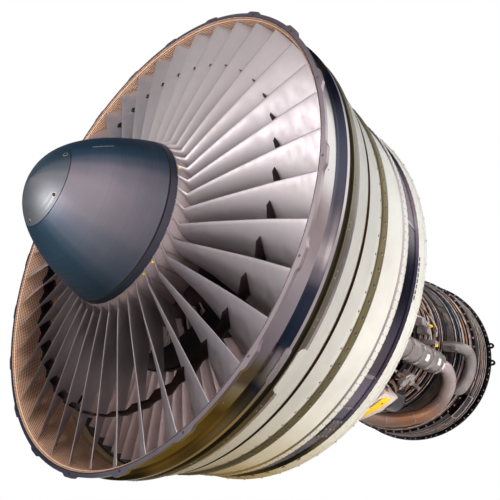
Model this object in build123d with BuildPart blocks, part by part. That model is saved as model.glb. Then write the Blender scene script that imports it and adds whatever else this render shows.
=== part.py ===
from build123d import *
from math import cos, radians, sin, sqrt, tan
import os

os.makedirs("parts", exist_ok=True)

# Frame: +X runs down the engine's axis from the inlet to the exhaust, +Z is up, and the origin is
# the centre of the inlet flange's front face. Angles round the axis run from +Y towards +Z.

# Running gaps and seats
SEAT = 0.3
RUN_GAP = 4.0

# Fan
BLADES = 40
TIP_R = 1194.0
BLADE_MID_X = 77.0
PLATFORM_FRONT_X = -45.0
PLATFORM_BACK_X = 175.0
PLATFORM_FRONT_R = 452.0
PLATFORM_BACK_R = 505.0
RIM_R = 437.0
RIM_FRONT_X = -46.7
RIM_BACK_X = 165.0
ROOT_R = 395.0
ROOT_NECK = 11.0
ROOT_FOOT = 19.0
SNUBBER_R = 960.0
SNUBBER_THICK = 14.0
SNUBBER_CHORD = 52.0
SNUBBER_ROOT = 44.0

# Spinner
SPINNER_TIP_X = -535.0
CAP_SEAM_X = -458.0
CAP_SEAM_R = 205.0
SPINNER_BASE_X = -47.0
SPINNER_BASE_R = 451.0
SPINNER_WALL = 7.0

# Fan case, from the inlet flange back
LINER_BACK_X = 330.0
LINER_WALL = 3.0
LINER_R = TIP_R + RUN_GAP
FRONT_BORE_R = LINER_R + LINER_WALL + SEAT
BEVEL = 14.0
BARREL_WALL = 6.7
BARREL_R = FRONT_BORE_R + BARREL_WALL
FLANGE_THICK = 16.0
FLANGE_TALL = 20.0
FLANGE_R = BARREL_R + FLANGE_TALL
FLANGE_HOLES = 20
FLANGE_HOLE_R = 5.5
FLANGE_HOLE_INSET = 6.0
FLANGE_PCD_R = FLANGE_R - FLANGE_HOLE_INSET
LUG_PHASE = 10.9
LUG_PROUD = 12.0
LUG_R = FLANGE_R + LUG_PROUD
LUG_WIDE = 56.0
LUG_CORNER = 8.0
FRONT_CASE_BACK_X = 212.0
CONTAINMENT_BACK_X = 538.0
EXIT_CASE_BACK_X = 770.0
FAN_CASE_BACK_X = 952.0

# Guide vanes and frame behind the fan
GUIDE_VANES = 72
GUIDE_FRONT_X = 380.0
GUIDE_BACK_X = 530.0
GUIDE_INNER_R = 690.0
SHROUD_WALL = 7.0
STRUTS = 8
STRUT_FRONT_X = 620.0
STRUT_CHORD = 230.0
STRUT_THICK = 46.0
FRAME_WALL = 9.0

# Core stations
SPLITTER_X = 232.0
SPLITTER_R = 640.0
FRAME_FRONT_X = 560.0
FRAME_BACK_X = 862.0
HPC_BACK_X = 1570.0
DIFFUSER_BACK_X = 1760.0
COMBUSTOR_BACK_X = 2080.0
HPT_BACK_X = 2250.0
LPT_BACK_X = 2960.0
EXHAUST_X = 3236.0

# Core case radii, outside
HPC_FRONT_R = 420.0
HPC_BACK_R = 372.0
COMBUSTOR_R = 480.0
HPT_R = COMBUSTOR_R + 20.0
LPT_BACK_R = 690.0
EXHAUST_R = 716.0
EXHAUST_FLANGE_TALL = 24.0
EXHAUST_FLANGE_R = EXHAUST_R + EXHAUST_FLANGE_TALL
CORE_WALL = 9.0
CORE_FLANGE = 20.0
CORE_FLANGE_THICK = 11.0

# Shafts
FRONT_JOURNAL_R = 118.0
LP_SHAFT_R = 58.0
LP_BORE_R = 44.0
CORE_BORE_R = 68.0
CORE_SHAFT_R = 84.0
REAR_JOURNAL_R = 70.0
BEARING_DEPTH = 46.0


def around(count, start=0.0):
    """Places one pitch apart round the engine's axis."""
    return [Location((0, 0, 0), (start + i * 360 / count, 0, 0)) for i in range(count)]


def turned(points, mode=Mode.ADD):
    """Turns a closed outline of (station, radius) points about the engine's axis."""
    with BuildSketch(Plane.XZ) as outline:
        with BuildLine():
            Polyline(*points, close=True)
        make_face()
    revolve(outline.sketch, axis=Axis.X, mode=mode)


def sector(points, start, arc, mode=Mode.ADD):
    """Turns a closed outline about the axis through part of a turn, from a starting angle."""
    with BuildSketch(Plane.XY.rotated((start, 0, 0))) as outline:
        with BuildLine():
            Polyline(*points, close=True)
        make_face()
    revolve(outline.sketch, axis=Axis.X, revolution_arc=arc, mode=mode)


def skin(line, wall):
    """Outline of a wall under a line of (station, radius) points, outside first."""
    return list(line) + [(x, r - wall) for x, r in reversed(line)]


def radius_on(line, x):
    """Radius at a station of a line of (station, radius) points."""
    for (x0, r0), (x1, r1) in zip(line, line[1:]):
        if x0 <= x <= x1:
            return r0 + (r1 - r0) * (x - x0) / (x1 - x0)
    return line[-1][1] if x > line[-1][0] else line[0][1]


def lowered(line, depth):
    """The same line nearer the axis by a depth."""
    return [(x, r - depth) for x, r in line]


def plate(x, chord, inner_r, outer_r, lean, thick):
    """One plain thin blade or vane along +Y, leant from the axis."""
    with BuildPart() as blank:
        with BuildSketch(Plane(origin=(x, inner_r, 0), x_dir=(1, 0, 0), z_dir=(0, 1, 0))):
            Rectangle(chord / cos(radians(lean)), thick, rotation=-lean)
        extrude(amount=outer_r - inner_r)
    return blank.part


def ring_of(piece, count, start=0.0):
    """Copies of a piece round the engine's axis."""
    return [place * piece for place in around(count, start)]


def flange(x, r, side):
    """A bolting flange round a core case, thick towards the given side of its joint."""
    back = x + side * CORE_FLANGE_THICK
    turned([(x, r - 1), (x, r + CORE_FLANGE), (back, r + CORE_FLANGE), (back, r - 1)])


def pipe(route, bends, outer_r):
    """A round pipe along straight runs joined by arcs, square to its first run."""
    with BuildLine() as path:
        FilletPolyline(*route, radius=bends)
    first_run = Vector(*route[1]) - Vector(*route[0])
    with BuildSketch(Plane(origin=route[0], z_dir=first_run)) as ring:
        Circle(outer_r)
    sweep(ring.sketch, path=path.line)


def polar(x, r, angle):
    """A point at a station, radius and angle round the axis."""
    return (x, r * cos(radians(angle)), r * sin(radians(angle)))


# Fan blade: sections up the span as (share of the span, chord, stagger, thickness, camber)
BLADE_FOOT_R = PLATFORM_FRONT_R - 6
BLADE_TRIM = 6.0
BLADE_SPAN = TIP_R + BLADE_TRIM - BLADE_FOOT_R
BLADE_SECTIONS = [
    (0.0, 190.0, 13.0, 19.0, 19.0),
    (0.27, 197.0, 27.0, 14.0, 16.0),
    (0.51, 206.0, 40.0, 10.5, 11.0),
    (0.75, 222.0, 51.0, 7.5, 7.0),
    (1.0, 236.0, 60.0, 5.0, 4.0),
]
EDGE_HALF = 0.8


def blade_section(radius, chord, stagger, thick, camber, mid_x):
    """One cambered section with its leading edge ahead of and its trailing edge behind mid_x."""
    angle = radians(stagger)
    ahead, behind = [], []
    for u in (0.0, 0.12, 0.45, 0.75, 1.0):
        half = thick * 1.3 * sqrt(u) * (1 - u) + (EDGE_HALF if u == 1.0 else 0)
        bend = -4 * camber * u * (1 - u)
        along = (u - 0.5) * chord
        for side, points in ((half, ahead), (-half, behind)):
            across = bend + side
            x = along * cos(angle) + across * sin(angle)
            points.append((x, across * cos(angle) - along * sin(angle)))
    with BuildSketch(Plane(origin=(mid_x, radius, 0), x_dir=(1, 0, 0), z_dir=(0, 1, 0))) as section:
        with BuildLine():
            Spline(*ahead)
            Line(ahead[-1], behind[-1])
            Spline(*reversed(behind))
        make_face()
    return section.sketch


def root_outline(grow):
    """Dovetail outline across the axis, grown by a clearance."""
    neck, foot = ROOT_NECK + grow, ROOT_FOOT + grow
    return [
        (RIM_R + 4, -neck),
        (ROOT_R + 22, -neck),
        (ROOT_R + 8, -foot),
        (ROOT_R - grow, -foot),
        (ROOT_R - grow, foot),
        (ROOT_R + 8, foot),
        (ROOT_R + 22, neck),
        (RIM_R + 4, neck),
    ]


BLADE_PITCH = 360 / BLADES
PLATFORM_ARC = BLADE_PITCH - 0.08
SNUBBER_HALF = (SNUBBER_R - SNUBBER_THICK / 2) * tan(radians(BLADE_PITCH / 2)) - SEAT / 2

with BuildPart() as fan_blade:
    for share, chord, stagger, thick, camber in BLADE_SECTIONS:
        radius = BLADE_FOOT_R + share * BLADE_SPAN
        add(blade_section(radius, chord, stagger, thick, camber, BLADE_MID_X))
    loft()
    platform = [
        (PLATFORM_FRONT_X, RIM_R + 1),
        (PLATFORM_BACK_X, RIM_R + 1),
        (PLATFORM_BACK_X, PLATFORM_BACK_R),
        (PLATFORM_FRONT_X, PLATFORM_FRONT_R),
    ]
    sector(platform, -PLATFORM_ARC / 2, PLATFORM_ARC)
    with BuildSketch(Plane.YZ.offset(PLATFORM_FRONT_X + 5)) as root:
        with BuildLine():
            Polyline(*root_outline(0), close=True)
        make_face()
    extrude(root.sketch, amount=RIM_BACK_X - PLATFORM_FRONT_X - 5)
    with BuildSketch(Plane.XZ.offset(-SNUBBER_R + SNUBBER_THICK / 2)) as snubber:
        with BuildLine():
            Polyline(
                (BLADE_MID_X - SNUBBER_CHORD / 2, -SNUBBER_HALF),
                (BLADE_MID_X + SNUBBER_CHORD / 2, -SNUBBER_HALF),
                (BLADE_MID_X + SNUBBER_ROOT, -SNUBBER_ROOT / 2),
                (BLADE_MID_X + SNUBBER_CHORD / 2, SNUBBER_HALF),
                (BLADE_MID_X - SNUBBER_CHORD / 2, SNUBBER_HALF),
                (BLADE_MID_X - SNUBBER_ROOT, SNUBBER_ROOT / 2),
                close=True,
            )
        make_face()
    extrude(snubber.sketch, amount=-SNUBBER_THICK)
    turned([(-100, 0), (400, 0), (400, TIP_R), (-100, TIP_R)], mode=Mode.INTERSECT)

fan_blades = Compound(label="fan_blades", children=ring_of(fan_blade.part, BLADES))
export_step(fan_blades, "parts/fan_blades.step")

# The hub takes the blades' dovetails in slots and carries the spinner on its front face
HUB_BORE_R = FRONT_JOURNAL_R + SEAT
HUB_RIM_INNER_R = 340.0
HUB_WEB_X = (48.0, 88.0)
HUB_SEAT_X = 125.0

with BuildPart() as root_slot:
    with BuildSketch(Plane.YZ.offset(RIM_FRONT_X - 1)) as slot:
        with BuildLine():
            Polyline(*root_outline(SEAT), close=True)
        make_face()
    extrude(slot.sketch, amount=RIM_BACK_X - RIM_FRONT_X + 2)

with BuildPart() as fan_hub:
    turned(
        [
            (RIM_FRONT_X, HUB_RIM_INNER_R + 30),
            (RIM_FRONT_X, RIM_R),
            (RIM_BACK_X, RIM_R),
            (RIM_BACK_X, HUB_RIM_INNER_R),
            (HUB_WEB_X[1], HUB_RIM_INNER_R - 15),
            (HUB_WEB_X[1], 190),
            (HUB_SEAT_X, 175),
            (HUB_SEAT_X, HUB_BORE_R),
            (10, HUB_BORE_R),
            (10, 175),
            (HUB_WEB_X[0], 190),
            (HUB_WEB_X[0], HUB_RIM_INNER_R - 15),
        ]
    )
    with Locations(*around(BLADES)):
        add(root_slot.part, mode=Mode.SUBTRACT)
fan_hub.part.label = "fan_hub"
export_step(fan_hub.part, "parts/fan_hub.step")

# Spinner, in two pieces that meet at a thin seam
SPINNER_LINE = [
    (SPINNER_TIP_X, 0.0),
    (-502.0, 140.0),
    (CAP_SEAM_X, CAP_SEAM_R),
    (-350.0, 302.0),
    (-200.0, 390.0),
    (SPINNER_BASE_X, SPINNER_BASE_R),
]
SEAM_GAP = 0.8
CAP_LIP = 14.0
SPINNER_FOOT_R = 384.0


def spinner_solid(inset):
    """The spinner's full form, inset by a wall."""
    points = [(SPINNER_TIP_X + inset, 0.0)] + lowered(SPINNER_LINE[1:], inset)
    with BuildSketch(Plane.XZ) as outline:
        with BuildLine():
            Spline(*points, tangents=[(0, 1), (3, 1)])
            Line(points[-1], (points[-1][0], 0))
            Line((points[-1][0], 0), points[0])
        make_face()
    return outline.sketch


with BuildPart() as spinner_cap:
    revolve(spinner_solid(0), axis=Axis.X)
    revolve(spinner_solid(SPINNER_WALL), axis=Axis.X, mode=Mode.SUBTRACT)
    turned(
        [(CAP_SEAM_X, 0), (CAP_SEAM_X, 600), (100, 600), (100, 0)],
        mode=Mode.SUBTRACT,
    )
spinner_cap.part.label = "spinner_cap"
export_step(spinner_cap.part, "parts/spinner_cap.step")

with BuildPart() as spinner_cone:
    revolve(spinner_solid(0), axis=Axis.X)
    revolve(spinner_solid(SPINNER_WALL), axis=Axis.X, mode=Mode.SUBTRACT)
    turned(
        [(-600, 0), (-600, 600), (CAP_SEAM_X + SEAM_GAP, 600), (CAP_SEAM_X + SEAM_GAP, 0)],
        mode=Mode.SUBTRACT,
    )
    turned(
        [
            (SPINNER_BASE_X - 8, SPINNER_FOOT_R),
            (SPINNER_BASE_X, SPINNER_FOOT_R),
            (SPINNER_BASE_X, SPINNER_BASE_R - 1),
            (SPINNER_BASE_X - 8, SPINNER_BASE_R - 4),
        ]
    )
spinner_cone.part.label = "spinner_cone"
export_step(spinner_cone.part, "parts/spinner_cone.step")

# Low-pressure shaft: a wide front journal, a slender middle and the turbine's rear journal
SHAFT_FLANGE_R = 165.0
SHAFT_FLANGE_X = HUB_SEAT_X
FRONT_BEARING_X = 330.0
TAPER_X = (430.0, 560.0)
TURBINE_SEAT_X = 2700.0
TURBINE_SEAT_R = 120.0
SHAFT_END_X = 3110.0

with BuildPart() as lp_shaft:
    turned(
        [
            (14, FRONT_JOURNAL_R),
            (SHAFT_FLANGE_X, FRONT_JOURNAL_R),
            (SHAFT_FLANGE_X, SHAFT_FLANGE_R),
            (SHAFT_FLANGE_X + 15, SHAFT_FLANGE_R),
            (SHAFT_FLANGE_X + 15, FRONT_JOURNAL_R),
            (TAPER_X[0], FRONT_JOURNAL_R),
            (TAPER_X[1], LP_SHAFT_R),
            (TURBINE_SEAT_X - 16, LP_SHAFT_R),
            (TURBINE_SEAT_X - 16, TURBINE_SEAT_R),
            (TURBINE_SEAT_X, TURBINE_SEAT_R),
            (TURBINE_SEAT_X, REAR_JOURNAL_R),
            (SHAFT_END_X, REAR_JOURNAL_R),
            (SHAFT_END_X, LP_BORE_R),
            (TAPER_X[1], LP_BORE_R),
            (TAPER_X[0], FRONT_JOURNAL_R - 22),
            (14, FRONT_JOURNAL_R - 22),
        ]
    )
lp_shaft.part.label = "lp_shaft"
export_step(lp_shaft.part, "parts/lp_shaft.step")

# Booster: a drum behind the fan hub with four rows of blades between four rows of vanes
BOOSTER_DRUM = [(180.0, 504.0), (300.0, 500.0), (545.0, 466.0)]
BOOSTER_CASE = [(262.0, 645.0), (400.0, 622.0), (FRAME_FRONT_X, 576.0)]
BOOSTER_WALL = 9.0
BOOSTER_ROWS = [308.0, 380.0, 450.0, 520.0]
BOOSTER_VANE_ROWS = [272.0, 345.0, 415.0, 485.0]
BOOSTER_BLADES = 30
ROW_CHORD = 26.0
DRUM_WALL = 12.0

with BuildPart() as booster_drum:
    turned(skin(BOOSTER_DRUM, DRUM_WALL))
    turned(
        [
            (RIM_BACK_X, HUB_RIM_INNER_R + 5),
            (RIM_BACK_X, ROOT_R),
            (RIM_BACK_X + 13, ROOT_R),
            (296, 494),
            (318, 490),
            (RIM_BACK_X + 28, 372),
            (RIM_BACK_X + 28, HUB_RIM_INNER_R + 5),
        ]
    )
booster_drum.part.label = "booster_drum"
export_step(booster_drum.part, "parts/booster_drum.step")

booster_inner = lowered(BOOSTER_CASE, BOOSTER_WALL)
booster_rotor_rows = []
for row_x in BOOSTER_ROWS:
    tip_r = radius_on(booster_inner, row_x + ROW_CHORD / 2) - RUN_GAP
    foot_r = radius_on(BOOSTER_DRUM, row_x - ROW_CHORD / 2) + SEAT
    booster_rotor_rows += ring_of(plate(row_x, ROW_CHORD, foot_r, tip_r, 35, 6), BOOSTER_BLADES)
booster_blades = Compound(label="booster_blades", children=booster_rotor_rows)
export_step(booster_blades, "parts/booster_blades.step")

booster_vane_rows = []
for row_x in BOOSTER_VANE_ROWS:
    tip_r = radius_on(booster_inner, row_x + ROW_CHORD / 2 + 2) - SEAT
    foot_r = radius_on(BOOSTER_DRUM, row_x - ROW_CHORD / 2) + RUN_GAP
    booster_vane_rows += ring_of(plate(row_x, ROW_CHORD, foot_r, tip_r, -25, 6), BOOSTER_BLADES, 3)
booster_vanes = Compound(label="booster_vanes", children=booster_vane_rows)
export_step(booster_vanes, "parts/booster_vanes.step")

with BuildPart() as booster_case:
    turned(skin(BOOSTER_CASE, BOOSTER_WALL))
    flange(FRAME_FRONT_X, radius_on(BOOSTER_CASE, FRAME_FRONT_X), -1)
booster_case.part.label = "booster_case"
export_step(booster_case.part, "parts/booster_case.step")

# Splitter: parts the fan's air between the core and the duct, and seats the guide vanes' ring
SPLITTER_SEAT_R = GUIDE_INNER_R - SEAT
with BuildPart() as splitter:
    turned(
        [
            (SPLITTER_X, SPLITTER_R),
            (300, 664),
            (368, SPLITTER_SEAT_R),
            (FRAME_FRONT_X, SPLITTER_SEAT_R),
            (FRAME_FRONT_X, SPLITTER_SEAT_R - 8),
            (372, SPLITTER_SEAT_R - 8),
            (300, 655),
            (262, 648),
            (262, 636),
        ]
    )
splitter.part.label = "splitter"
export_step(splitter.part, "parts/splitter.step")

# Front fan case: the inlet flange with its bolt lugs, a polished barrel and two raised bands
FLANGE_FOOT = 6.0
BEVEL_LAND = 3.0

RIDGE_TALL = 22.0
RAIL_TALL = 20.0
CHANNEL_TALL = 6.0

with BuildPart() as flange_lug:
    with BuildSketch(Plane.YZ) as lug:
        with Locations(((BARREL_R + LUG_R) / 2, 0)):
            RectangleRounded(LUG_R - BARREL_R, LUG_WIDE, LUG_CORNER)
    extrude(lug.sketch, amount=FLANGE_THICK)

with BuildPart() as flange_hole:
    with BuildSketch(Plane.YZ.offset(-1)) as hole:
        with Locations((FLANGE_PCD_R, 0)):
            Circle(FLANGE_HOLE_R)
    extrude(hole.sketch, amount=FLANGE_THICK + 2)

with BuildPart() as fan_case_front:
    turned([(0, BARREL_R), (0, FLANGE_R), (FLANGE_THICK, FLANGE_R), (FLANGE_THICK, BARREL_R)])
    with Locations(*around(FLANGE_HOLES, LUG_PHASE)):
        add(flange_lug.part)
    turned(
        [
            (0, FRONT_BORE_R + BEVEL - BEVEL_LAND),
            (0, BARREL_R + FLANGE_FOOT),
            (FLANGE_THICK, BARREL_R + FLANGE_FOOT),
            (FLANGE_THICK, BARREL_R),
            (138, BARREL_R),
            (146, BARREL_R + RIDGE_TALL),
            (166, BARREL_R + RIDGE_TALL),
            (172, BARREL_R + CHANNEL_TALL),
            (200, BARREL_R + CHANNEL_TALL),
            (200, BARREL_R + RAIL_TALL),
            (FRONT_CASE_BACK_X, BARREL_R + RAIL_TALL),
            (FRONT_CASE_BACK_X, FRONT_BORE_R),
            (BEVEL, FRONT_BORE_R),
        ]
    )
    turned(
        [
            (-1, 0),
            (-1, LINER_R),
            (0, FRONT_BORE_R + BEVEL - BEVEL_LAND),
            (BEVEL, FRONT_BORE_R),
            (FLANGE_THICK + BEVEL, FRONT_BORE_R),
            (FLANGE_THICK + BEVEL, 0),
        ],
        mode=Mode.SUBTRACT,
    )
    with Locations(*around(FLANGE_HOLES, LUG_PHASE)):
        add(flange_hole.part, mode=Mode.SUBTRACT)
fan_case_front.part.label = "fan_case_front"
export_step(fan_case_front.part, "parts/fan_case_front.step")

with BuildPart() as fan_liner:
    turned(
        [
            (1, FRONT_BORE_R + BEVEL - BEVEL_LAND - 1 - SEAT),
            (BEVEL, FRONT_BORE_R - SEAT),
            (LINER_BACK_X, FRONT_BORE_R - SEAT),
            (LINER_BACK_X, LINER_R),
            (BEVEL, LINER_R),
            (1, LINER_R + BEVEL - BEVEL_LAND - 2),
        ]
    )
fan_liner.part.label = "fan_liner"
export_step(fan_liner.part, "parts/fan_liner.step")

# The duct behind the fan narrows to its throat, and the cases outside it taper with it
THROAT_DROP = 48.0
THROAT_R = LINER_R - THROAT_DROP
JOINT_R = BARREL_R - 24.0
DUCT_LINE = [
    (LINER_BACK_X + 4, THROAT_R + 34),
    (CONTAINMENT_BACK_X, THROAT_R + 7),
    (600.0, THROAT_R),
    (FAN_CASE_BACK_X, THROAT_R),
]
with BuildPart() as containment_case:
    turned(
        [
            (FRONT_CASE_BACK_X, BARREL_R + RAIL_TALL),
            (236, BARREL_R + RAIL_TALL),
            (240, BARREL_R + 11),
            (360, BARREL_R - 6),
            (363, JOINT_R + 10),
            (372, JOINT_R + 9),
            (375, JOINT_R + 15),
            (526, JOINT_R - 12),
            (526, JOINT_R),
            (CONTAINMENT_BACK_X, JOINT_R),
            (CONTAINMENT_BACK_X, DUCT_LINE[1][1]),
            DUCT_LINE[0],
            (LINER_BACK_X, FRONT_BORE_R),
            (FRONT_CASE_BACK_X, FRONT_BORE_R),
        ]
    )
containment_case.part.label = "containment_case"
export_step(containment_case.part, "parts/containment_case.step")

with BuildPart() as fan_exit_case:
    turned(
        [
            (CONTAINMENT_BACK_X, JOINT_R),
            (550, JOINT_R),
            (551, JOINT_R - 13),
            (566, JOINT_R - 14),
            (568, JOINT_R - 18),
            (726, JOINT_R - 16),
            (730, JOINT_R - 8),
            (EXIT_CASE_BACK_X, JOINT_R - 8),
            (EXIT_CASE_BACK_X, DUCT_LINE[2][1]),
            DUCT_LINE[2],
            DUCT_LINE[1],
        ]
    )
fan_exit_case.part.label = "fan_exit_case"
export_step(fan_exit_case.part, "parts/fan_exit_case.step")

POLISHED_LINE = [(EXIT_CASE_BACK_X, JOINT_R - 12), (882.0, JOINT_R - 25)]
with BuildPart() as fan_case_rear:
    turned(
        [
            POLISHED_LINE[0],
            POLISHED_LINE[1],
            (890, JOINT_R - 13),
            (936, JOINT_R - 9),
            (939, JOINT_R + 2),
            (FAN_CASE_BACK_X, JOINT_R + 2),
            (FAN_CASE_BACK_X, THROAT_R + 16),
            (900, THROAT_R + 10),
            (880, DUCT_LINE[3][1]),
            (EXIT_CASE_BACK_X, DUCT_LINE[3][1]),
        ]
    )
fan_case_rear.part.label = "fan_case_rear"
export_step(fan_case_rear.part, "parts/fan_case_rear.step")

# Guide vanes behind the fan, held between two shroud rings
shroud_line = [(GUIDE_FRONT_X - 5, 0), (GUIDE_BACK_X + 5, 0)]
outer_shroud = [(x, radius_on(DUCT_LINE, x) - SEAT) for x, r in shroud_line]
with BuildPart() as outer_vane_ring:
    turned(skin(outer_shroud, SHROUD_WALL))
outer_vane_ring.part.label = "outer_vane_ring"
export_step(outer_vane_ring.part, "parts/outer_vane_ring.step")

with BuildPart() as inner_vane_ring:
    turned(skin([(x, GUIDE_INNER_R + SHROUD_WALL) for x, r in shroud_line], SHROUD_WALL))
inner_vane_ring.part.label = "inner_vane_ring"
export_step(inner_vane_ring.part, "parts/inner_vane_ring.step")

GUIDE_MID_X = (GUIDE_FRONT_X + GUIDE_BACK_X) / 2
vane_tips = [(x, r - SHROUD_WALL - SEAT) for x, r in outer_shroud]
with BuildPart() as guide_vane:
    add(blade_section(GUIDE_INNER_R + SHROUD_WALL + SEAT, 140, -14, 11, -10, GUIDE_MID_X))
    add(blade_section(vane_tips[0][1], 140, -14, 11, -10, GUIDE_MID_X))
    loft(ruled=True)
    turned([(vane_tips[0][0], 0), vane_tips[0], vane_tips[1], (vane_tips[1][0], 0)], mode=Mode.INTERSECT)
exit_guide_vanes = Compound(label="exit_guide_vanes", children=ring_of(guide_vane.part, GUIDE_VANES))
export_step(exit_guide_vanes, "parts/exit_guide_vanes.step")

# Frame behind the fan: eight struts between a ring in the fan case and a ring on the core
FRAME_RING_X = (600.0, 866.0)
CORE_WALL_R = GUIDE_INNER_R + SHROUD_WALL - SEAT
STRUT_MID_X = STRUT_FRONT_X + STRUT_CHORD / 2
with BuildPart() as strut:
    add(blade_section(CORE_WALL_R + 6, STRUT_CHORD, 0, STRUT_THICK, 0, STRUT_MID_X))
    add(blade_section(DUCT_LINE[2][1] - 6, STRUT_CHORD, 0, STRUT_THICK, 0, STRUT_MID_X))
    loft(ruled=True)

with BuildPart() as fan_frame:
    turned(skin([(x, DUCT_LINE[2][1] - SEAT) for x in FRAME_RING_X], FRAME_WALL))
    turned(skin([(x, CORE_WALL_R + SEAT + FRAME_WALL) for x in FRAME_RING_X], FRAME_WALL))
    with Locations(*around(STRUTS)):
        add(strut.part)
fan_frame.part.label = "fan_frame"
export_step(fan_frame.part, "parts/fan_frame.step")

# Intermediate case: the core's main casting, with the duct wall, hub wall and bearing web
CORE_WALL_BACK_X = FAN_CASE_BACK_X + 108.0
CORE_DUCT_OUTER = [(FRAME_FRONT_X, 567.0), (700.0, 508.0), (FRAME_BACK_X, HPC_FRONT_R - CORE_WALL)]
CORE_DUCT_HUB = [(FRAME_FRONT_X, 466.0), (700.0, 412.0), (FRAME_BACK_X, 268.0)]
BLEED_SEAT_R = CORE_WALL_R - 104.7
BLEED_SEAT_BACK_X = 690.0
BLEED_PORTS = 12
BLEED_PORT_X = (598.0, 618.0)
PLATE = 10.0
BEARING_WALL = 12.0
BEARING_OUTER = 56.0
CORE_FRONT_BEARING_X = 805.0
core_housing_r = CORE_SHAFT_R + BEARING_OUTER + SEAT
with BuildPart() as bleed_port:
    with BuildSketch(Plane.YZ.offset(BLEED_PORT_X[0])) as port:
        with Locations((BLEED_SEAT_R - 10, 0)):
            Rectangle(90, 120)
    extrude(port.sketch, amount=BLEED_PORT_X[1] - BLEED_PORT_X[0])

with BuildPart() as intermediate_case:
    turned(skin([(FRAME_FRONT_X, CORE_WALL_R), (CORE_WALL_BACK_X, CORE_WALL_R)], 9))
    turned(
        [
            (FRAME_FRONT_X, CORE_WALL_R - 2),
            (FRAME_FRONT_X + PLATE, CORE_WALL_R - 2),
            (FRAME_FRONT_X + PLATE, BLEED_SEAT_R),
            (BLEED_SEAT_BACK_X, BLEED_SEAT_R),
            (712, 520),
            (FRAME_BACK_X - PLATE, HPC_FRONT_R + 6),
            (FRAME_BACK_X - PLATE, CORE_WALL_R - 2),
            (FRAME_BACK_X, CORE_WALL_R - 2),
            CORE_DUCT_OUTER[2],
            CORE_DUCT_OUTER[1],
            CORE_DUCT_OUTER[0],
        ]
    )
    turned(skin(CORE_DUCT_HUB, BEARING_WALL))
    turned(
        [
            (FRAME_FRONT_X, 415),
            (FRAME_FRONT_X, 462),
            (FRAME_FRONT_X + PLATE, 460),
            (FRAME_FRONT_X + PLATE, 415),
        ]
    )
    turned(
        [
            (762, 347),
            (782, 330),
            (CORE_FRONT_BEARING_X + 4, core_housing_r + BEARING_WALL),
            (CORE_FRONT_BEARING_X + BEARING_DEPTH, core_housing_r + BEARING_WALL),
            (CORE_FRONT_BEARING_X + BEARING_DEPTH, core_housing_r),
            (CORE_FRONT_BEARING_X - 8, core_housing_r),
        ]
    )
    for place in around(STRUTS):
        add(place * plate(640, 90, 426, 545, 0, 14))
    with Locations(*around(BLEED_PORTS, 15)):
        add(bleed_port.part, mode=Mode.SUBTRACT)
intermediate_case.part.label = "intermediate_case"
export_step(intermediate_case.part, "parts/intermediate_case.step")

# Bleed valve: a ring that slides back on its seat to open the ports
BLEED_RING_X = (592.0, 632.0)
with BuildPart() as bleed_ring:
    turned(skin([(x, BLEED_SEAT_R + SEAT + 8) for x in BLEED_RING_X], 8))
bleed_ring.part.label = "bleed_ring"
export_step(bleed_ring.part, "parts/bleed_ring.step")

# Bearings and the front bearing's cone
FRONT_HOUSING_R = FRONT_JOURNAL_R + BEARING_DEPTH + 2 * SEAT


def bearing(x, shaft_r, depth):
    """A closed bearing ring on a shaft, with a groove between its two races."""
    turned(
        [
            (x, shaft_r + SEAT),
            (x, shaft_r + SEAT + depth),
            (x + BEARING_DEPTH, shaft_r + SEAT + depth),
            (x + BEARING_DEPTH, shaft_r + SEAT + depth * 0.7),
            (x + BEARING_DEPTH - 5, shaft_r + SEAT + depth * 0.7),
            (x + BEARING_DEPTH - 5, shaft_r + SEAT + depth * 0.3),
            (x + BEARING_DEPTH, shaft_r + SEAT + depth * 0.3),
            (x + BEARING_DEPTH, shaft_r + SEAT),
        ]
    )


with BuildPart() as lp_front_bearing:
    bearing(FRONT_BEARING_X, FRONT_JOURNAL_R, BEARING_DEPTH)
lp_front_bearing.part.label = "lp_front_bearing"
export_step(lp_front_bearing.part, "parts/lp_front_bearing.step")

with BuildPart() as front_bearing_cone:
    turned(
        [
            (FRONT_BEARING_X - 8, FRONT_HOUSING_R),
            (FRONT_BEARING_X - 8, FRONT_HOUSING_R + 14),
            (FRONT_BEARING_X + 36, FRONT_HOUSING_R + 16),
            (530, 432),
            (FRAME_FRONT_X, 432),
            (FRAME_FRONT_X, 418),
            (540, 418),
            (FRONT_BEARING_X + 60, FRONT_HOUSING_R),
        ]
    )
front_bearing_cone.part.label = "front_bearing_cone"
export_step(front_bearing_cone.part, "parts/front_bearing_cone.step")

with BuildPart() as core_front_bearing:
    bearing(CORE_FRONT_BEARING_X, CORE_SHAFT_R, BEARING_OUTER - SEAT)
core_front_bearing.part.label = "core_front_bearing"
export_step(core_front_bearing.part, "parts/core_front_bearing.step")

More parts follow.
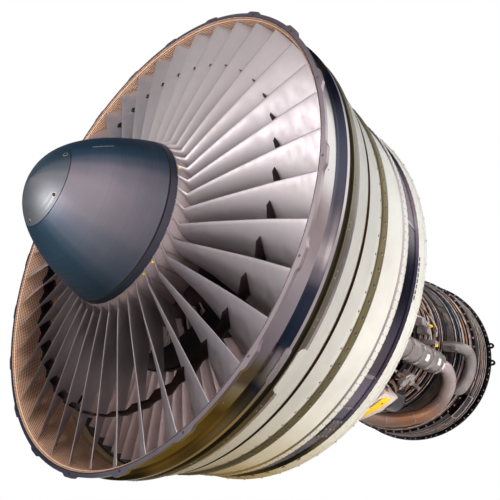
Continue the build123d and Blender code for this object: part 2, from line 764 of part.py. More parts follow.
# High-pressure compressor: shaft, drum, blades, case and vanes
CORE_SHOULDER_X = 870.0
CORE_SHOULDER_R = 100.0
HPC_DRUM = [(872.0, 270.0), (1548.0, 312.0)]
HPC_CASE = [(FRAME_BACK_X, HPC_FRONT_R), (HPC_BACK_X, HPC_BACK_R)]
HPC_ROWS = 11
HPC_BLADES = 20
HPC_ROW_PITCH = 61.0
HPC_CHORD = 22.0
HPC_WALL = 14.0
TURBINE_SHOULDER_X = 2096.0
CORE_SHAFT_END_X = 2236.0
with BuildPart() as core_shaft:
    turned(
        [
            (790, CORE_SHAFT_R),
            (CORE_SHOULDER_X - 12, CORE_SHAFT_R),
            (CORE_SHOULDER_X - 12, CORE_SHOULDER_R),
            (CORE_SHOULDER_X, CORE_SHOULDER_R),
            (CORE_SHOULDER_X, CORE_SHAFT_R),
            (TURBINE_SHOULDER_X - 12, CORE_SHAFT_R),
            (TURBINE_SHOULDER_X - 12, CORE_SHOULDER_R),
            (TURBINE_SHOULDER_X, CORE_SHOULDER_R),
            (TURBINE_SHOULDER_X, CORE_SHAFT_R),
            (CORE_SHAFT_END_X, CORE_SHAFT_R),
            (CORE_SHAFT_END_X, CORE_BORE_R),
            (790, CORE_BORE_R),
        ]
    )
core_shaft.part.label = "core_shaft"
export_step(core_shaft.part, "parts/core_shaft.step")

with BuildPart() as hpc_drum:
    turned(skin(HPC_DRUM, HPC_WALL))
    turned(
        [
            (CORE_SHOULDER_X, CORE_SHAFT_R + SEAT),
            (CORE_SHOULDER_X, 112),
            (874, 262),
            (890, 262),
            (890, 112),
            (905, CORE_SHAFT_R + SEAT),
        ]
    )
    turned([(1520, CORE_SHAFT_R + SEAT), (1520, 112), (1530, 304), (1548, 304), (1548, CORE_SHAFT_R + SEAT)])
hpc_drum.part.label = "hpc_drum"
export_step(hpc_drum.part, "parts/hpc_drum.step")

hpc_inner = lowered(HPC_CASE, CORE_WALL)
hpc_rotor_rows = []
hpc_vane_rows = []
for row in range(HPC_ROWS):
    row_x = HPC_DRUM[0][0] + 20 + row * HPC_ROW_PITCH
    vane_x = row_x + HPC_ROW_PITCH / 2
    foot_r = radius_on(HPC_DRUM, row_x + HPC_CHORD / 2) + SEAT
    tip_r = radius_on(hpc_inner, row_x + HPC_CHORD / 2) - RUN_GAP
    hpc_rotor_rows += ring_of(plate(row_x, HPC_CHORD, foot_r, tip_r, 40, 5), HPC_BLADES)
    vane_foot_r = radius_on(HPC_DRUM, vane_x + HPC_CHORD / 2) + RUN_GAP
    vane_tip_r = radius_on(hpc_inner, vane_x + HPC_CHORD / 2) - SEAT
    if row < HPC_ROWS - 1:
        vane = plate(vane_x, HPC_CHORD, vane_foot_r, vane_tip_r, -30, 5)
        hpc_vane_rows += ring_of(vane, HPC_BLADES, 4)
hpc_blades = Compound(label="hpc_blades", children=hpc_rotor_rows)
export_step(hpc_blades, "parts/hpc_blades.step")
hpc_vanes = Compound(label="hpc_vanes", children=hpc_vane_rows)
export_step(hpc_vanes, "parts/hpc_vanes.step")

with BuildPart() as hpc_case:
    turned(skin(HPC_CASE, CORE_WALL))
    flange(FRAME_BACK_X, HPC_FRONT_R, 1)
    flange(HPC_BACK_X, HPC_BACK_R, -1)
hpc_case.part.label = "hpc_case"
export_step(hpc_case.part, "parts/hpc_case.step")

# Variable vanes: four rings turn a few degrees together and carry the levers
UNISON_X = [915.0, 980.0, 1045.0, 1110.0]
UNISON_STAND_OFF = 16.0
UNISON_SECTION = 14.0
UNISON_RIDERS = 12
RIDER_TALL = 18.0
RIDER_WIDE = 24.0
unison_solids = []
for ring_x in UNISON_X:
    front_x, back_x = ring_x - UNISON_SECTION / 2, ring_x + UNISON_SECTION / 2
    seat_r = radius_on(HPC_CASE, front_x) + SEAT
    outer_r = seat_r + UNISON_STAND_OFF + UNISON_SECTION
    with BuildPart() as rider:
        with BuildSketch(Plane.YZ.offset(front_x)) as pad:
            with Locations((seat_r + RIDER_TALL / 2, 0)):
                Rectangle(RIDER_TALL, RIDER_WIDE)
        extrude(pad.sketch, amount=UNISON_SECTION)
    with BuildPart() as unison_ring:
        turned(skin([(front_x, outer_r), (back_x, outer_r)], UNISON_SECTION))
        with Locations(*around(UNISON_RIDERS)):
            add(rider.part)
    unison_solids.append(unison_ring.part)
unison_rings = Compound(label="unison_rings", children=unison_solids)
export_step(unison_rings, "parts/unison_rings.step")

# Diffuser and combustor
DIFFUSER_LINE = [(HPC_BACK_X, HPC_BACK_R), (1620.0, 385.0), (DIFFUSER_BACK_X, COMBUSTOR_R)]
INNER_CASE_R = COMBUSTOR_R - 180.0
DIFFUSER_INNER = [(HPC_BACK_X, 314.0), (DIFFUSER_BACK_X, INNER_CASE_R)]
DIFFUSER_STRUT_X = 1630.0
DIFFUSER_CHORD = 70.0
with BuildPart() as diffuser_case:
    turned(skin(DIFFUSER_LINE, CORE_WALL))
    turned(skin(DIFFUSER_INNER, 8))
    flange(HPC_BACK_X, HPC_BACK_R, 1)
    flange(DIFFUSER_BACK_X, COMBUSTOR_R, -1)
    strut_foot_r = radius_on(DIFFUSER_INNER, DIFFUSER_STRUT_X + DIFFUSER_CHORD / 2) - 5
    strut_tip_r = radius_on(DIFFUSER_LINE, DIFFUSER_STRUT_X) - CORE_WALL + 1
    for place in around(10):
        add(place * plate(DIFFUSER_STRUT_X, DIFFUSER_CHORD, strut_foot_r, strut_tip_r, 0, 10))
diffuser_case.part.label = "diffuser_case"
export_step(diffuser_case.part, "parts/diffuser_case.step")

# Fuel nozzles stand round the combustor case under one round manifold
NOZZLES = 20
NOZZLE_X = 1830.0
NOZZLE_R = 13.0
MANIFOLD_R = COMBUSTOR_R + 38.0
MANIFOLD_TUBE_R = 8.0
with BuildPart() as fuel_nozzle:
    with BuildSketch(Plane.XY.offset(COMBUSTOR_R - CORE_WALL / 2)) as nozzle:
        with Locations((NOZZLE_X, 0)):
            Circle(NOZZLE_R)
    extrude(nozzle.sketch, amount=MANIFOLD_R + MANIFOLD_TUBE_R + CORE_WALL - COMBUSTOR_R)

with BuildPart() as combustor_case:
    turned(skin([(DIFFUSER_BACK_X, COMBUSTOR_R), (COMBUSTOR_BACK_X, COMBUSTOR_R)], CORE_WALL))
    flange(DIFFUSER_BACK_X, COMBUSTOR_R, 1)
    flange(COMBUSTOR_BACK_X, COMBUSTOR_R, -1)
    with Locations(*around(NOZZLES)):
        add(fuel_nozzle.part)
    with BuildSketch(Plane.XZ) as manifold:
        with Locations((NOZZLE_X, MANIFOLD_R)):
            Circle(MANIFOLD_TUBE_R)
    revolve(manifold.sketch, axis=Axis.X)
combustor_case.part.label = "combustor_case"
export_step(combustor_case.part, "parts/combustor_case.step")

CORE_REAR_BEARING_X = 2024.0
with BuildPart() as combustor_inner_case:
    turned(skin([(DIFFUSER_BACK_X, INNER_CASE_R), (COMBUSTOR_BACK_X - 2, INNER_CASE_R)], 8))
    turned(
        [
            (1880, INNER_CASE_R - 4),
            (1896, INNER_CASE_R - 4),
            (CORE_REAR_BEARING_X + BEARING_DEPTH, core_housing_r + BEARING_WALL),
            (CORE_REAR_BEARING_X + BEARING_DEPTH, core_housing_r),
            (CORE_REAR_BEARING_X - 6, core_housing_r),
        ]
    )
combustor_inner_case.part.label = "combustor_inner_case"
export_step(combustor_inner_case.part, "parts/combustor_inner_case.step")

with BuildPart() as core_rear_bearing:
    bearing(CORE_REAR_BEARING_X, CORE_SHAFT_R, BEARING_OUTER - SEAT)
core_rear_bearing.part.label = "core_rear_bearing"
export_step(core_rear_bearing.part, "parts/core_rear_bearing.step")

LINER_FRONT_X = 1815.0
LINER_OUTER_R = COMBUSTOR_R - 32.0
LINER_INNER_R = COMBUSTOR_R - 145.0
with BuildPart() as combustor_liner:
    turned(
        [
            (LINER_FRONT_X, LINER_INNER_R + 10),
            (LINER_FRONT_X, LINER_OUTER_R - 10),
            (LINER_FRONT_X + 20, LINER_OUTER_R),
            (COMBUSTOR_BACK_X - SEAT, LINER_OUTER_R - 4),
            (COMBUSTOR_BACK_X - SEAT, LINER_OUTER_R - 9),
            (LINER_FRONT_X + 22, LINER_OUTER_R - 6),
            (LINER_FRONT_X + 8, LINER_OUTER_R - 14),
            (LINER_FRONT_X + 8, LINER_INNER_R + 14),
            (LINER_FRONT_X + 22, LINER_INNER_R + 6),
            (COMBUSTOR_BACK_X - SEAT, LINER_INNER_R + 11),
            (COMBUSTOR_BACK_X - SEAT, LINER_INNER_R + 6),
            (LINER_FRONT_X + 20, LINER_INNER_R),
        ]
    )
combustor_liner.part.label = "combustor_liner"
export_step(combustor_liner.part, "parts/combustor_liner.step")

# High-pressure turbine: nozzle, two bladed discs, and their case with a row of vanes
HPT_CASE = [(COMBUSTOR_BACK_X, COMBUSTOR_R), (HPT_BACK_X, HPT_R)]
hpt_inner = lowered(HPT_CASE, CORE_WALL)
HPT_DISC_X = [2120.0, 2206.0]
HPT_RIM_R = COMBUSTOR_R - 85.0
HPT_HALF = 15.0
NOZZLE_BACK_X = 2100.0
TURBINE_BLADES = 36
with BuildPart() as turbine_nozzle:
    turned(skin([(x, COMBUSTOR_R - CORE_WALL - SEAT) for x in (COMBUSTOR_BACK_X, NOZZLE_BACK_X)], 26))
    turned(skin([(x, LINER_INNER_R + 11) for x in (COMBUSTOR_BACK_X, NOZZLE_BACK_X)], 12))
    for place in around(24):
        add(place * plate(NOZZLE_BACK_X - 9, 16, LINER_INNER_R + 7, COMBUSTOR_R - 30, -40, 8))
turbine_nozzle.part.label = "turbine_nozzle"
export_step(turbine_nozzle.part, "parts/turbine_nozzle.step")

with BuildPart() as hpt_discs:
    for disc_x in HPT_DISC_X:
        turned(
            [
                (disc_x - HPT_HALF, HPT_RIM_R - 22),
                (disc_x - HPT_HALF, HPT_RIM_R),
                (disc_x + HPT_HALF, HPT_RIM_R),
                (disc_x + HPT_HALF, HPT_RIM_R - 22),
                (disc_x + 7, HPT_RIM_R - 40),
                (disc_x + 7, 170),
                (disc_x + 24, 130),
                (disc_x + 24, CORE_SHAFT_R + SEAT),
                (disc_x - 24, CORE_SHAFT_R + SEAT),
                (disc_x - 24, 130),
                (disc_x - 7, 170),
                (disc_x - 7, HPT_RIM_R - 40),
            ]
        )
    spacer_x = (HPT_DISC_X[0] + HPT_HALF - 1, HPT_DISC_X[1] - HPT_HALF + 1)
    turned(skin([(x, HPT_RIM_R - 2) for x in spacer_x], 10))
hpt_discs.part.label = "hpt_discs"
export_step(hpt_discs.part, "parts/hpt_discs.step")

hpt_rotor_rows = []
for disc_x in HPT_DISC_X:
    tip_r = radius_on(hpt_inner, disc_x - HPT_HALF) - RUN_GAP
    hpt_rotor_rows += ring_of(plate(disc_x, 26, HPT_RIM_R + SEAT, tip_r, 35, 8), TURBINE_BLADES)
hpt_blades = Compound(label="hpt_blades", children=hpt_rotor_rows)
export_step(hpt_blades, "parts/hpt_blades.step")

with BuildPart() as hpt_case:
    turned(skin(HPT_CASE, CORE_WALL))
    flange(COMBUSTOR_BACK_X, COMBUSTOR_R, 1)
    flange(HPT_BACK_X, HPT_R, -1)
    for place in around(24, 3):
        add(place * plate(2163, 18, HPT_RIM_R + RUN_GAP, radius_on(hpt_inner, 2150) + 3, -35, 8))
hpt_case.part.label = "hpt_case"
export_step(hpt_case.part, "parts/hpt_case.step")

# Low-pressure turbine: four rows of blades on a drum, between four rows of vanes
LPT_CASE = [(HPT_BACK_X, HPT_R), (LPT_BACK_X, LPT_BACK_R)]
lpt_inner = lowered(LPT_CASE, CORE_WALL)
LPT_DRUM_R = COMBUSTOR_R - 94.0
LPT_DRUM = [(2302.0, LPT_DRUM_R), (2895.0, LPT_DRUM_R + 14)]
LPT_ROWS = [2340.0, 2500.0, 2670.0, 2860.0]
LPT_VANE_ROWS = [2278.0, 2420.0, 2585.0, 2765.0]
LPT_CHORD = 52.0
LPT_VANE_CHORD = 42.0
LPT_WALL = 14.0
LPT_BLADES = 48
with BuildPart() as lpt_drum:
    turned(skin(LPT_DRUM, LPT_WALL))
    turned(
        [
            (TURBINE_SEAT_X, REAR_JOURNAL_R + SEAT),
            (TURBINE_SEAT_X, 128),
            (2650, radius_on(LPT_DRUM, 2650) - LPT_WALL + 2),
            (2680, radius_on(LPT_DRUM, 2680) - LPT_WALL + 3),
            (TURBINE_SEAT_X + 28, 128),
            (TURBINE_SEAT_X + 28, REAR_JOURNAL_R + SEAT),
        ]
    )
lpt_drum.part.label = "lpt_drum"
export_step(lpt_drum.part, "parts/lpt_drum.step")

lpt_rotor_rows = []
for row_x in LPT_ROWS:
    foot_r = radius_on(LPT_DRUM, row_x + LPT_CHORD / 2) + SEAT
    tip_r = radius_on(lpt_inner, row_x - LPT_CHORD / 2) - RUN_GAP
    lpt_rotor_rows += ring_of(plate(row_x, LPT_CHORD, foot_r, tip_r, 28, 7), LPT_BLADES)
lpt_blades = Compound(label="lpt_blades", children=lpt_rotor_rows)
export_step(lpt_blades, "parts/lpt_blades.step")

lpt_vane_solids = []
for row_x in LPT_VANE_ROWS:
    foot_r = radius_on(LPT_DRUM, row_x + LPT_VANE_CHORD / 2) + RUN_GAP
    tip_r = radius_on(lpt_inner, row_x - LPT_VANE_CHORD / 2 - 1.7) - SEAT
    lpt_vane_solids += ring_of(plate(row_x, LPT_VANE_CHORD, foot_r, tip_r, -28, 7), LPT_BLADES, 2)
lpt_vanes = Compound(label="lpt_vanes", children=lpt_vane_solids)
export_step(lpt_vanes, "parts/lpt_vanes.step")

with BuildPart() as lpt_case:
    turned(skin(LPT_CASE, CORE_WALL))
    flange(HPT_BACK_X, HPT_R, 1)
    flange(LPT_BACK_X, LPT_BACK_R, -1)
lpt_case.part.label = "lpt_case"
export_step(lpt_case.part, "parts/lpt_case.step")

# Cooling tubes: hoops that blow air on the turbine case
TUBE_X = [2330.0, 2380.0, 2430.0, 2480.0, 2787.0, 2828.0, 2869.0, 2910.0]
TUBE_SIDE = 15.0
tube_solids = []
for tube_x in TUBE_X:
    front_x, back_x = tube_x - TUBE_SIDE / 2, tube_x + TUBE_SIDE / 2
    hoop = [(x, radius_on(LPT_CASE, x) + SEAT + TUBE_SIDE) for x in (front_x, back_x)]
    with BuildPart() as cooling_tube:
        turned(skin(hoop, TUBE_SIDE))
    tube_solids.append(cooling_tube.part)
cooling_tubes = Compound(label="cooling_tubes", children=tube_solids)
export_step(cooling_tubes, "parts/cooling_tubes.step")

# Exhaust case: struts from the case to a hub that holds the rear bearing
EXHAUST_CASE = [(LPT_BACK_X, LPT_BACK_R), (3010.0, 700.0), (EXHAUST_X, EXHAUST_R)]
EXHAUST_HUB = [(2985.0, 394.0), (3190.0, 345.0)]
EXHAUST_STRUTS = 12
EXHAUST_HOLES = 24
EXHAUST_HOLE_R = 4.5
EXHAUST_PCD_R = EXHAUST_FLANGE_R - 11.0
EAR_ANGLES = [183.6, 194.7, 345.3, 356.4]
EAR_R = EXHAUST_FLANGE_R + 8.0
EAR_HOLE_R = 9.0
REAR_BEARING_X = 3040.0
REAR_BEARING_DEPTH = 54.0
MOUNT_LUG_Y = [-58.0, 34.0]
MOUNT_LUG_WIDE = 24.0
REAR_PIN_X = 3100.0
REAR_PIN_Z = EXHAUST_FLANGE_R + 30.0
REAR_PIN_R = 18.0
EXHAUST_FLANGE_THICK = 14.0
STRUT_ROOT_X = 3085.0
STRUT_WIDTH = 150.0
HUB_WALL = 10.0
rear_housing_r = REAR_JOURNAL_R + REAR_BEARING_DEPTH + 2 * SEAT
strut_span = (EXHAUST_HUB[0][0] + 5, EXHAUST_HUB[1][0] - 10)
strut_feet = [(x, radius_on(EXHAUST_HUB, x) - HUB_WALL / 2) for x in strut_span]
strut_tips = [(x, radius_on(EXHAUST_CASE, x) - CORE_WALL / 2) for x in strut_span]
with BuildPart() as exhaust_strut:
    add(blade_section(strut_feet[1][1] - 1, STRUT_WIDTH, 0, 28, 0, STRUT_ROOT_X))
    add(blade_section(strut_tips[1][1] + 1, STRUT_WIDTH, 0, 28, 0, STRUT_ROOT_X))
    loft(ruled=True)
    turned([strut_feet[0], strut_feet[1], strut_tips[1], strut_tips[0]], mode=Mode.INTERSECT)

with BuildPart() as exhaust_hole:
    with BuildSketch(Plane.YZ.offset(EXHAUST_X - EXHAUST_FLANGE_THICK - 1)) as hole:
        with Locations((EXHAUST_PCD_R, 0)):
            Circle(EXHAUST_HOLE_R)
    extrude(hole.sketch, amount=EXHAUST_FLANGE_THICK + 2)

with BuildPart() as exhaust_ear:
    with BuildSketch(Plane.YZ.offset(EXHAUST_X - EXHAUST_FLANGE_THICK)) as ear:
        with Locations((EAR_R, 0)):
            Circle(24)
        with Locations((EAR_R - 18, 0)):
            Rectangle(22, 60)
        with Locations((EAR_R, 0)):
            Circle(EAR_HOLE_R, mode=Mode.SUBTRACT)
    extrude(ear.sketch, amount=EXHAUST_FLANGE_THICK)

lug_feet = [radius_on(EXHAUST_CASE, REAR_PIN_X + step) - CORE_WALL / 2 for step in (-70, 70)]
with BuildPart() as mount_lugs:
    for lug_y in MOUNT_LUG_Y:
        with BuildSketch(Plane.XZ.offset(-lug_y)) as lug:
            with BuildLine():
                Polyline(
                    (REAR_PIN_X - 70, lug_feet[0]),
                    (REAR_PIN_X - 34, REAR_PIN_Z),
                    (REAR_PIN_X - 24, REAR_PIN_Z + 34),
                    (REAR_PIN_X + 24, REAR_PIN_Z + 34),
                    (REAR_PIN_X + 34, REAR_PIN_Z),
                    (REAR_PIN_X + 70, lug_feet[1]),
                    close=True,
                )
            make_face()
            with Locations((REAR_PIN_X, REAR_PIN_Z)):
                Circle(REAR_PIN_R, mode=Mode.SUBTRACT)
        extrude(lug.sketch, amount=-MOUNT_LUG_WIDE)

with BuildPart() as exhaust_case:
    turned(skin(EXHAUST_CASE, CORE_WALL))
    flange(LPT_BACK_X, LPT_BACK_R, 1)
    add(mount_lugs.part)
    turned(
        [
            (EXHAUST_X - EXHAUST_FLANGE_THICK, EXHAUST_R - 3),
            (EXHAUST_X - EXHAUST_FLANGE_THICK, EXHAUST_FLANGE_R),
            (EXHAUST_X, EXHAUST_FLANGE_R),
            (EXHAUST_X, EXHAUST_R - 3),
        ]
    )
    turned(skin(EXHAUST_HUB, HUB_WALL))
    turned(
        [
            (3060, 372),
            (3078, 366),
            (REAR_BEARING_X + BEARING_DEPTH, rear_housing_r + BEARING_WALL),
            (REAR_BEARING_X + BEARING_DEPTH, rear_housing_r),
            (REAR_BEARING_X - 6, rear_housing_r),
            (REAR_BEARING_X - 6, rear_housing_r + BEARING_WALL),
        ]
    )
    with Locations(*around(EXHAUST_STRUTS)):
        add(exhaust_strut.part)
    for angle in EAR_ANGLES:
        add(Location((0, 0, 0), (angle, 0, 0)) * exhaust_ear.part)
    with Locations(*around(EXHAUST_HOLES, 7.5)):
        add(exhaust_hole.part, mode=Mode.SUBTRACT)
exhaust_case.part.label = "exhaust_case"
export_step(exhaust_case.part, "parts/exhaust_case.step")

with BuildPart() as lp_rear_bearing:
    bearing(REAR_BEARING_X, REAR_JOURNAL_R, REAR_BEARING_DEPTH - SEAT)
lp_rear_bearing.part.label = "lp_rear_bearing"
export_step(lp_rear_bearing.part, "parts/lp_rear_bearing.step")

with BuildPart() as rear_cover:
    turned(
        [
            (EXHAUST_HUB[1][0], 345),
            (EXHAUST_HUB[1][0] + 10, 345),
            (EXHAUST_X - 14, 200),
            (EXHAUST_X - 6, 0),
            (EXHAUST_X - 14, 0),
            (EXHAUST_X - 22, 196),
            (EXHAUST_HUB[1][0], 330),
        ]
    )
rear_cover.part.label = "rear_cover"
export_step(rear_cover.part, "parts/rear_cover.step")

# Front mount: a clevis block on top of the core, behind the frame
FRONT_PIN_X = FAN_CASE_BACK_X + 52.0
FRONT_PIN_Z = CORE_WALL_R + 65.3
FRONT_PIN_R = 20.0
FRONT_MOUNT_WIDE = 120.0
MOUNT_HALF = 46.0
MOUNT_CHEEK = 26.0
with BuildPart() as front_mount:
    with BuildSketch(Plane.XZ.offset(-FRONT_MOUNT_WIDE / 2)) as cheek:
        with BuildLine():
            Polyline(
                (FRONT_PIN_X - MOUNT_HALF, CORE_WALL_R - 6),
                (FRONT_PIN_X - MOUNT_HALF, CORE_WALL_R + 22),
                (FRONT_PIN_X - MOUNT_CHEEK, FRONT_PIN_Z + MOUNT_CHEEK),
                (FRONT_PIN_X + MOUNT_CHEEK, FRONT_PIN_Z + MOUNT_CHEEK),
                (FRONT_PIN_X + MOUNT_HALF, CORE_WALL_R + 22),
                (FRONT_PIN_X + MOUNT_HALF, CORE_WALL_R - 6),
                close=True,
            )
        make_face()
        with Locations((FRONT_PIN_X, FRONT_PIN_Z)):
            Circle(FRONT_PIN_R, mode=Mode.SUBTRACT)
    extrude(cheek.sketch, amount=FRONT_MOUNT_WIDE)
    core_wall = [
        (FRAME_RING_X[1], 0),
        (FRAME_RING_X[1], CORE_WALL_R + SEAT),
        (CORE_WALL_BACK_X, CORE_WALL_R + SEAT),
        (CORE_WALL_BACK_X, 0),
    ]
    turned(core_wall, mode=Mode.SUBTRACT)
front_mount.part.label = "front_mount"
export_step(front_mount.part, "parts/front_mount.step")

# Gearbox under the combustor, and the accessories on its faces
GEARBOX_X = (1890.0, 2060.0)
GEARBOX_R = (COMBUSTOR_R + 65.0, COMBUSTOR_R + 262.0)
ACCESSORY_R = COMBUSTOR_R + 170.0
GEARBOX_START = 238.0
GEARBOX_ARC = 64.0
LINK_X = [1910.0, 2022.0]
with BuildPart() as gearbox:
    sector(
        [
            (GEARBOX_X[0], GEARBOX_R[0]),
            (GEARBOX_X[0], GEARBOX_R[1] - 18),
            (GEARBOX_X[0] + 18, GEARBOX_R[1]),
            (GEARBOX_X[1] - 18, GEARBOX_R[1]),
            (GEARBOX_X[1], GEARBOX_R[1] - 18),
            (GEARBOX_X[1], GEARBOX_R[0]),
        ],
        GEARBOX_START,
        GEARBOX_ARC,
    )
    for link_x in LINK_X:
        for start in (GEARBOX_START + 4, GEARBOX_START + GEARBOX_ARC - 12):
            sector(
                [
                    (link_x, COMBUSTOR_R + SEAT),
                    (link_x, GEARBOX_R[0] + 2),
                    (link_x + 14, GEARBOX_R[0] + 2),
                    (link_x + 14, COMBUSTOR_R + SEAT),
                ],
                start,
                8,
            )
gearbox.part.label = "gearbox"
export_step(gearbox.part, "parts/gearbox.step")


def pod(x, side, angle, r, steps):
    """A turned accessory on a gearbox face: steps of (distance from the face, radius)."""
    centre = polar(x, r, angle)
    with BuildSketch(Plane(origin=centre, x_dir=(1, 0, 0), z_dir=(0, -1, 0))) as outline:
        with BuildLine():
            points = [(0, 0)] + [(side * d, pod_r) for d, pod_r in steps] + [(side * steps[-1][0], 0)]
            Polyline(*points, close=True)
        make_face()
    revolve(outline.sketch, axis=Axis(centre, (1, 0, 0)))


with BuildPart() as starter:
    pod(GEARBOX_X[1], 1, 245, ACCESSORY_R, [(0, 70), (14, 70), (18, 88), (150, 92), (215, 70), (240, 30)])
starter.part.label = "starter"
export_step(starter.part, "parts/starter.step")

with BuildPart() as generator:
    pod(GEARBOX_X[1], 1, 293, ACCESSORY_R, [(0, 84), (16, 84), (20, 70), (60, 82), (250, 82), (262, 60)])
generator.part.label = "generator"
export_step(generator.part, "parts/generator.step")

with BuildPart() as fuel_pump:
    pod(GEARBOX_X[0], -1, 250, ACCESSORY_R, [(0, 66), (14, 66), (18, 54), (120, 54), (140, 34)])
fuel_pump.part.label = "fuel_pump"
export_step(fuel_pump.part, "parts/fuel_pump.step")

with BuildPart() as hydraulic_pump:
    pod(GEARBOX_X[0], -1, 290, ACCESSORY_R, [(0, 60), (12, 60), (16, 46), (150, 50), (170, 30)])
hydraulic_pump.part.label = "hydraulic_pump"
export_step(hydraulic_pump.part, "parts/hydraulic_pump.step")

# Yellow ground-handling plate on the gearbox, with two holes
PLATE_ANGLES = (240.0, 22.0)
PLATE_HOLE_ANGLES = [244.5, 257.5]
PLATE_HOLE_R = 11.0
PLATE_HOLE_X = GEARBOX_X[0] + 50.0
with BuildPart() as handling_plate:
    sector(
        [
            (GEARBOX_X[0] + 20, GEARBOX_R[1] + SEAT),
            (GEARBOX_X[0] + 20, GEARBOX_R[1] + 7),
            (GEARBOX_X[0] + 84, GEARBOX_R[1] + 7),
            (GEARBOX_X[0] + 84, GEARBOX_R[1] + SEAT),
        ],
        *PLATE_ANGLES,
    )
    for angle in PLATE_HOLE_ANGLES:
        foot = polar(PLATE_HOLE_X, GEARBOX_R[1] - 10, angle)
        with BuildSketch(Plane(origin=foot, x_dir=(1, 0, 0), z_dir=polar(0, 1, angle))) as hole:
            Circle(PLATE_HOLE_R)
        extrude(hole.sketch, amount=30, mode=Mode.SUBTRACT)
handling_plate.part.label = "handling_plate"
export_step(handling_plate.part, "parts/handling_plate.step")

# Ducts beside the turbine: a clamped bleed duct, the big bent duct and a smaller elbow
DUCT_ANGLE = 211.0
DUCT_AXIS_R = COMBUSTOR_R + 175.0
DUCT_OUTER_R = 82.0
DUCT_PORT_X = 1700.0
DUCT_END_X = 2385.0
CLAMP_X = [1850.0, 2000.0, 2165.0, 2330.0]
port_cut_x = (DUCT_PORT_X - 120, DIFFUSER_BACK_X - CORE_FLANGE_THICK, DIFFUSER_BACK_X + 60)

with BuildPart() as clamped_duct:
    route = [
        polar(DUCT_PORT_X, 440, DUCT_ANGLE),
        polar(DUCT_PORT_X, DUCT_AXIS_R, DUCT_ANGLE),
        polar(DUCT_END_X, DUCT_AXIS_R, DUCT_ANGLE),
    ]
    pipe(route, 120, DUCT_OUTER_R)
    turned(
        [
            (port_cut_x[0], 0),
            (port_cut_x[0], radius_on(DIFFUSER_LINE, port_cut_x[0]) + SEAT),
            (port_cut_x[1], radius_on(DIFFUSER_LINE, port_cut_x[1]) + SEAT),
            (port_cut_x[1] - SEAT, COMBUSTOR_R + CORE_FLANGE + SEAT),
            (port_cut_x[2], COMBUSTOR_R + CORE_FLANGE + SEAT),
            (port_cut_x[2], 0),
        ],
        mode=Mode.SUBTRACT,
    )
clamped_duct.part.label = "clamped_duct"
export_step(clamped_duct.part, "parts/clamped_duct.step")

clamp_solids = []
for clamp_x in CLAMP_X:
    with BuildPart() as clamp:
        with BuildSketch(Plane.YZ.offset(clamp_x)) as band:
            with Locations(polar(0, DUCT_AXIS_R, DUCT_ANGLE)[1:]):
                Circle(DUCT_OUTER_R + SEAT + 5)
                Circle(DUCT_OUTER_R + SEAT, mode=Mode.SUBTRACT)
        extrude(band.sketch, amount=16)
    clamp_solids.append(clamp.part)
duct_clamps = Compound(label="duct_clamps", children=clamp_solids)
export_step(duct_clamps, "parts/duct_clamps.step")

BENT_R = 50.0
bent_start_x = DUCT_END_X + SEAT
with BuildPart() as bent_duct:
    route = [
        polar(bent_start_x - 20, DUCT_AXIS_R, DUCT_ANGLE),
        polar(bent_start_x + 175, DUCT_AXIS_R + 35, DUCT_ANGLE + 1),
        polar(bent_start_x + 270, DUCT_AXIS_R + 70, 231),
        polar(bent_start_x + 175, DUCT_AXIS_R + 60, 250),
        polar(bent_start_x + 15, DUCT_AXIS_R + 35, 265),
        polar(2240, DUCT_AXIS_R, 270),
        polar(GEARBOX_X[1] + SEAT, DUCT_AXIS_R, 270),
    ]
    pipe(route, [90, 95, 95, 90, 110], BENT_R)
    with BuildSketch(Plane.YZ.offset(bent_start_x - 60)) as square_end:
        with Locations(polar(0, DUCT_AXIS_R, DUCT_ANGLE)[1:]):
            Circle(BENT_R + 30)
    extrude(square_end.sketch, amount=60, mode=Mode.SUBTRACT)
bent_duct.part.label = "bent_duct"
export_step(bent_duct.part, "parts/bent_duct.step")

# Elbow duct: takes air from the turbine case to the rear cooling tubes
ELBOW_R = 34.0
ELBOW_X = (2600.0, 2800.0)
ELBOW_HIGH_R = LPT_BACK_R + 55.0
lpt_outer = [(x, r + SEAT) for x, r in LPT_CASE]
tube_tops = [(x, radius_on(LPT_CASE, x) + TUBE_SIDE + 2 * SEAT) for x in (TUBE_X[4] - 50, LPT_BACK_X)]
with BuildPart() as elbow_duct:
    route = [
        polar(ELBOW_X[0], lpt_outer[0][1], 196),
        polar(ELBOW_X[0], ELBOW_HIGH_R, 196),
        polar(ELBOW_X[1], ELBOW_HIGH_R, 200),
        polar(ELBOW_X[1], ELBOW_HIGH_R, 218),
        polar(ELBOW_X[1], tube_tops[0][1] - 40, 222),
    ]
    pipe(route, [60, 80, 50], ELBOW_R)
    turned([(HPT_BACK_X, 0), lpt_outer[0], lpt_outer[1], (LPT_BACK_X, 0)], mode=Mode.SUBTRACT)
    turned([(tube_tops[0][0], 0), tube_tops[0], tube_tops[1], (LPT_BACK_X, 0)], mode=Mode.SUBTRACT)
elbow_duct.part.label = "elbow_duct"
export_step(elbow_duct.part, "parts/elbow_duct.step")

# Panels: a plain one on the turbine's rear and the screwed cover on the fan case's polished band
PANEL_X = [LPT_BACK_X + CORE_FLANGE_THICK + 5, EXHAUST_CASE[1][0], EXHAUST_CASE[1][0] + 62]
PANEL_R = EXHAUST_FLANGE_R - 4.0
with BuildPart() as turbine_panel:
    panel_foot = [(x, radius_on(EXHAUST_CASE, x) + SEAT) for x in PANEL_X]
    sector(panel_foot + [(PANEL_X[2], PANEL_R), (PANEL_X[0], PANEL_R)], 221, 17)
turbine_panel.part.label = "turbine_panel"
export_step(turbine_panel.part, "parts/turbine_panel.step")

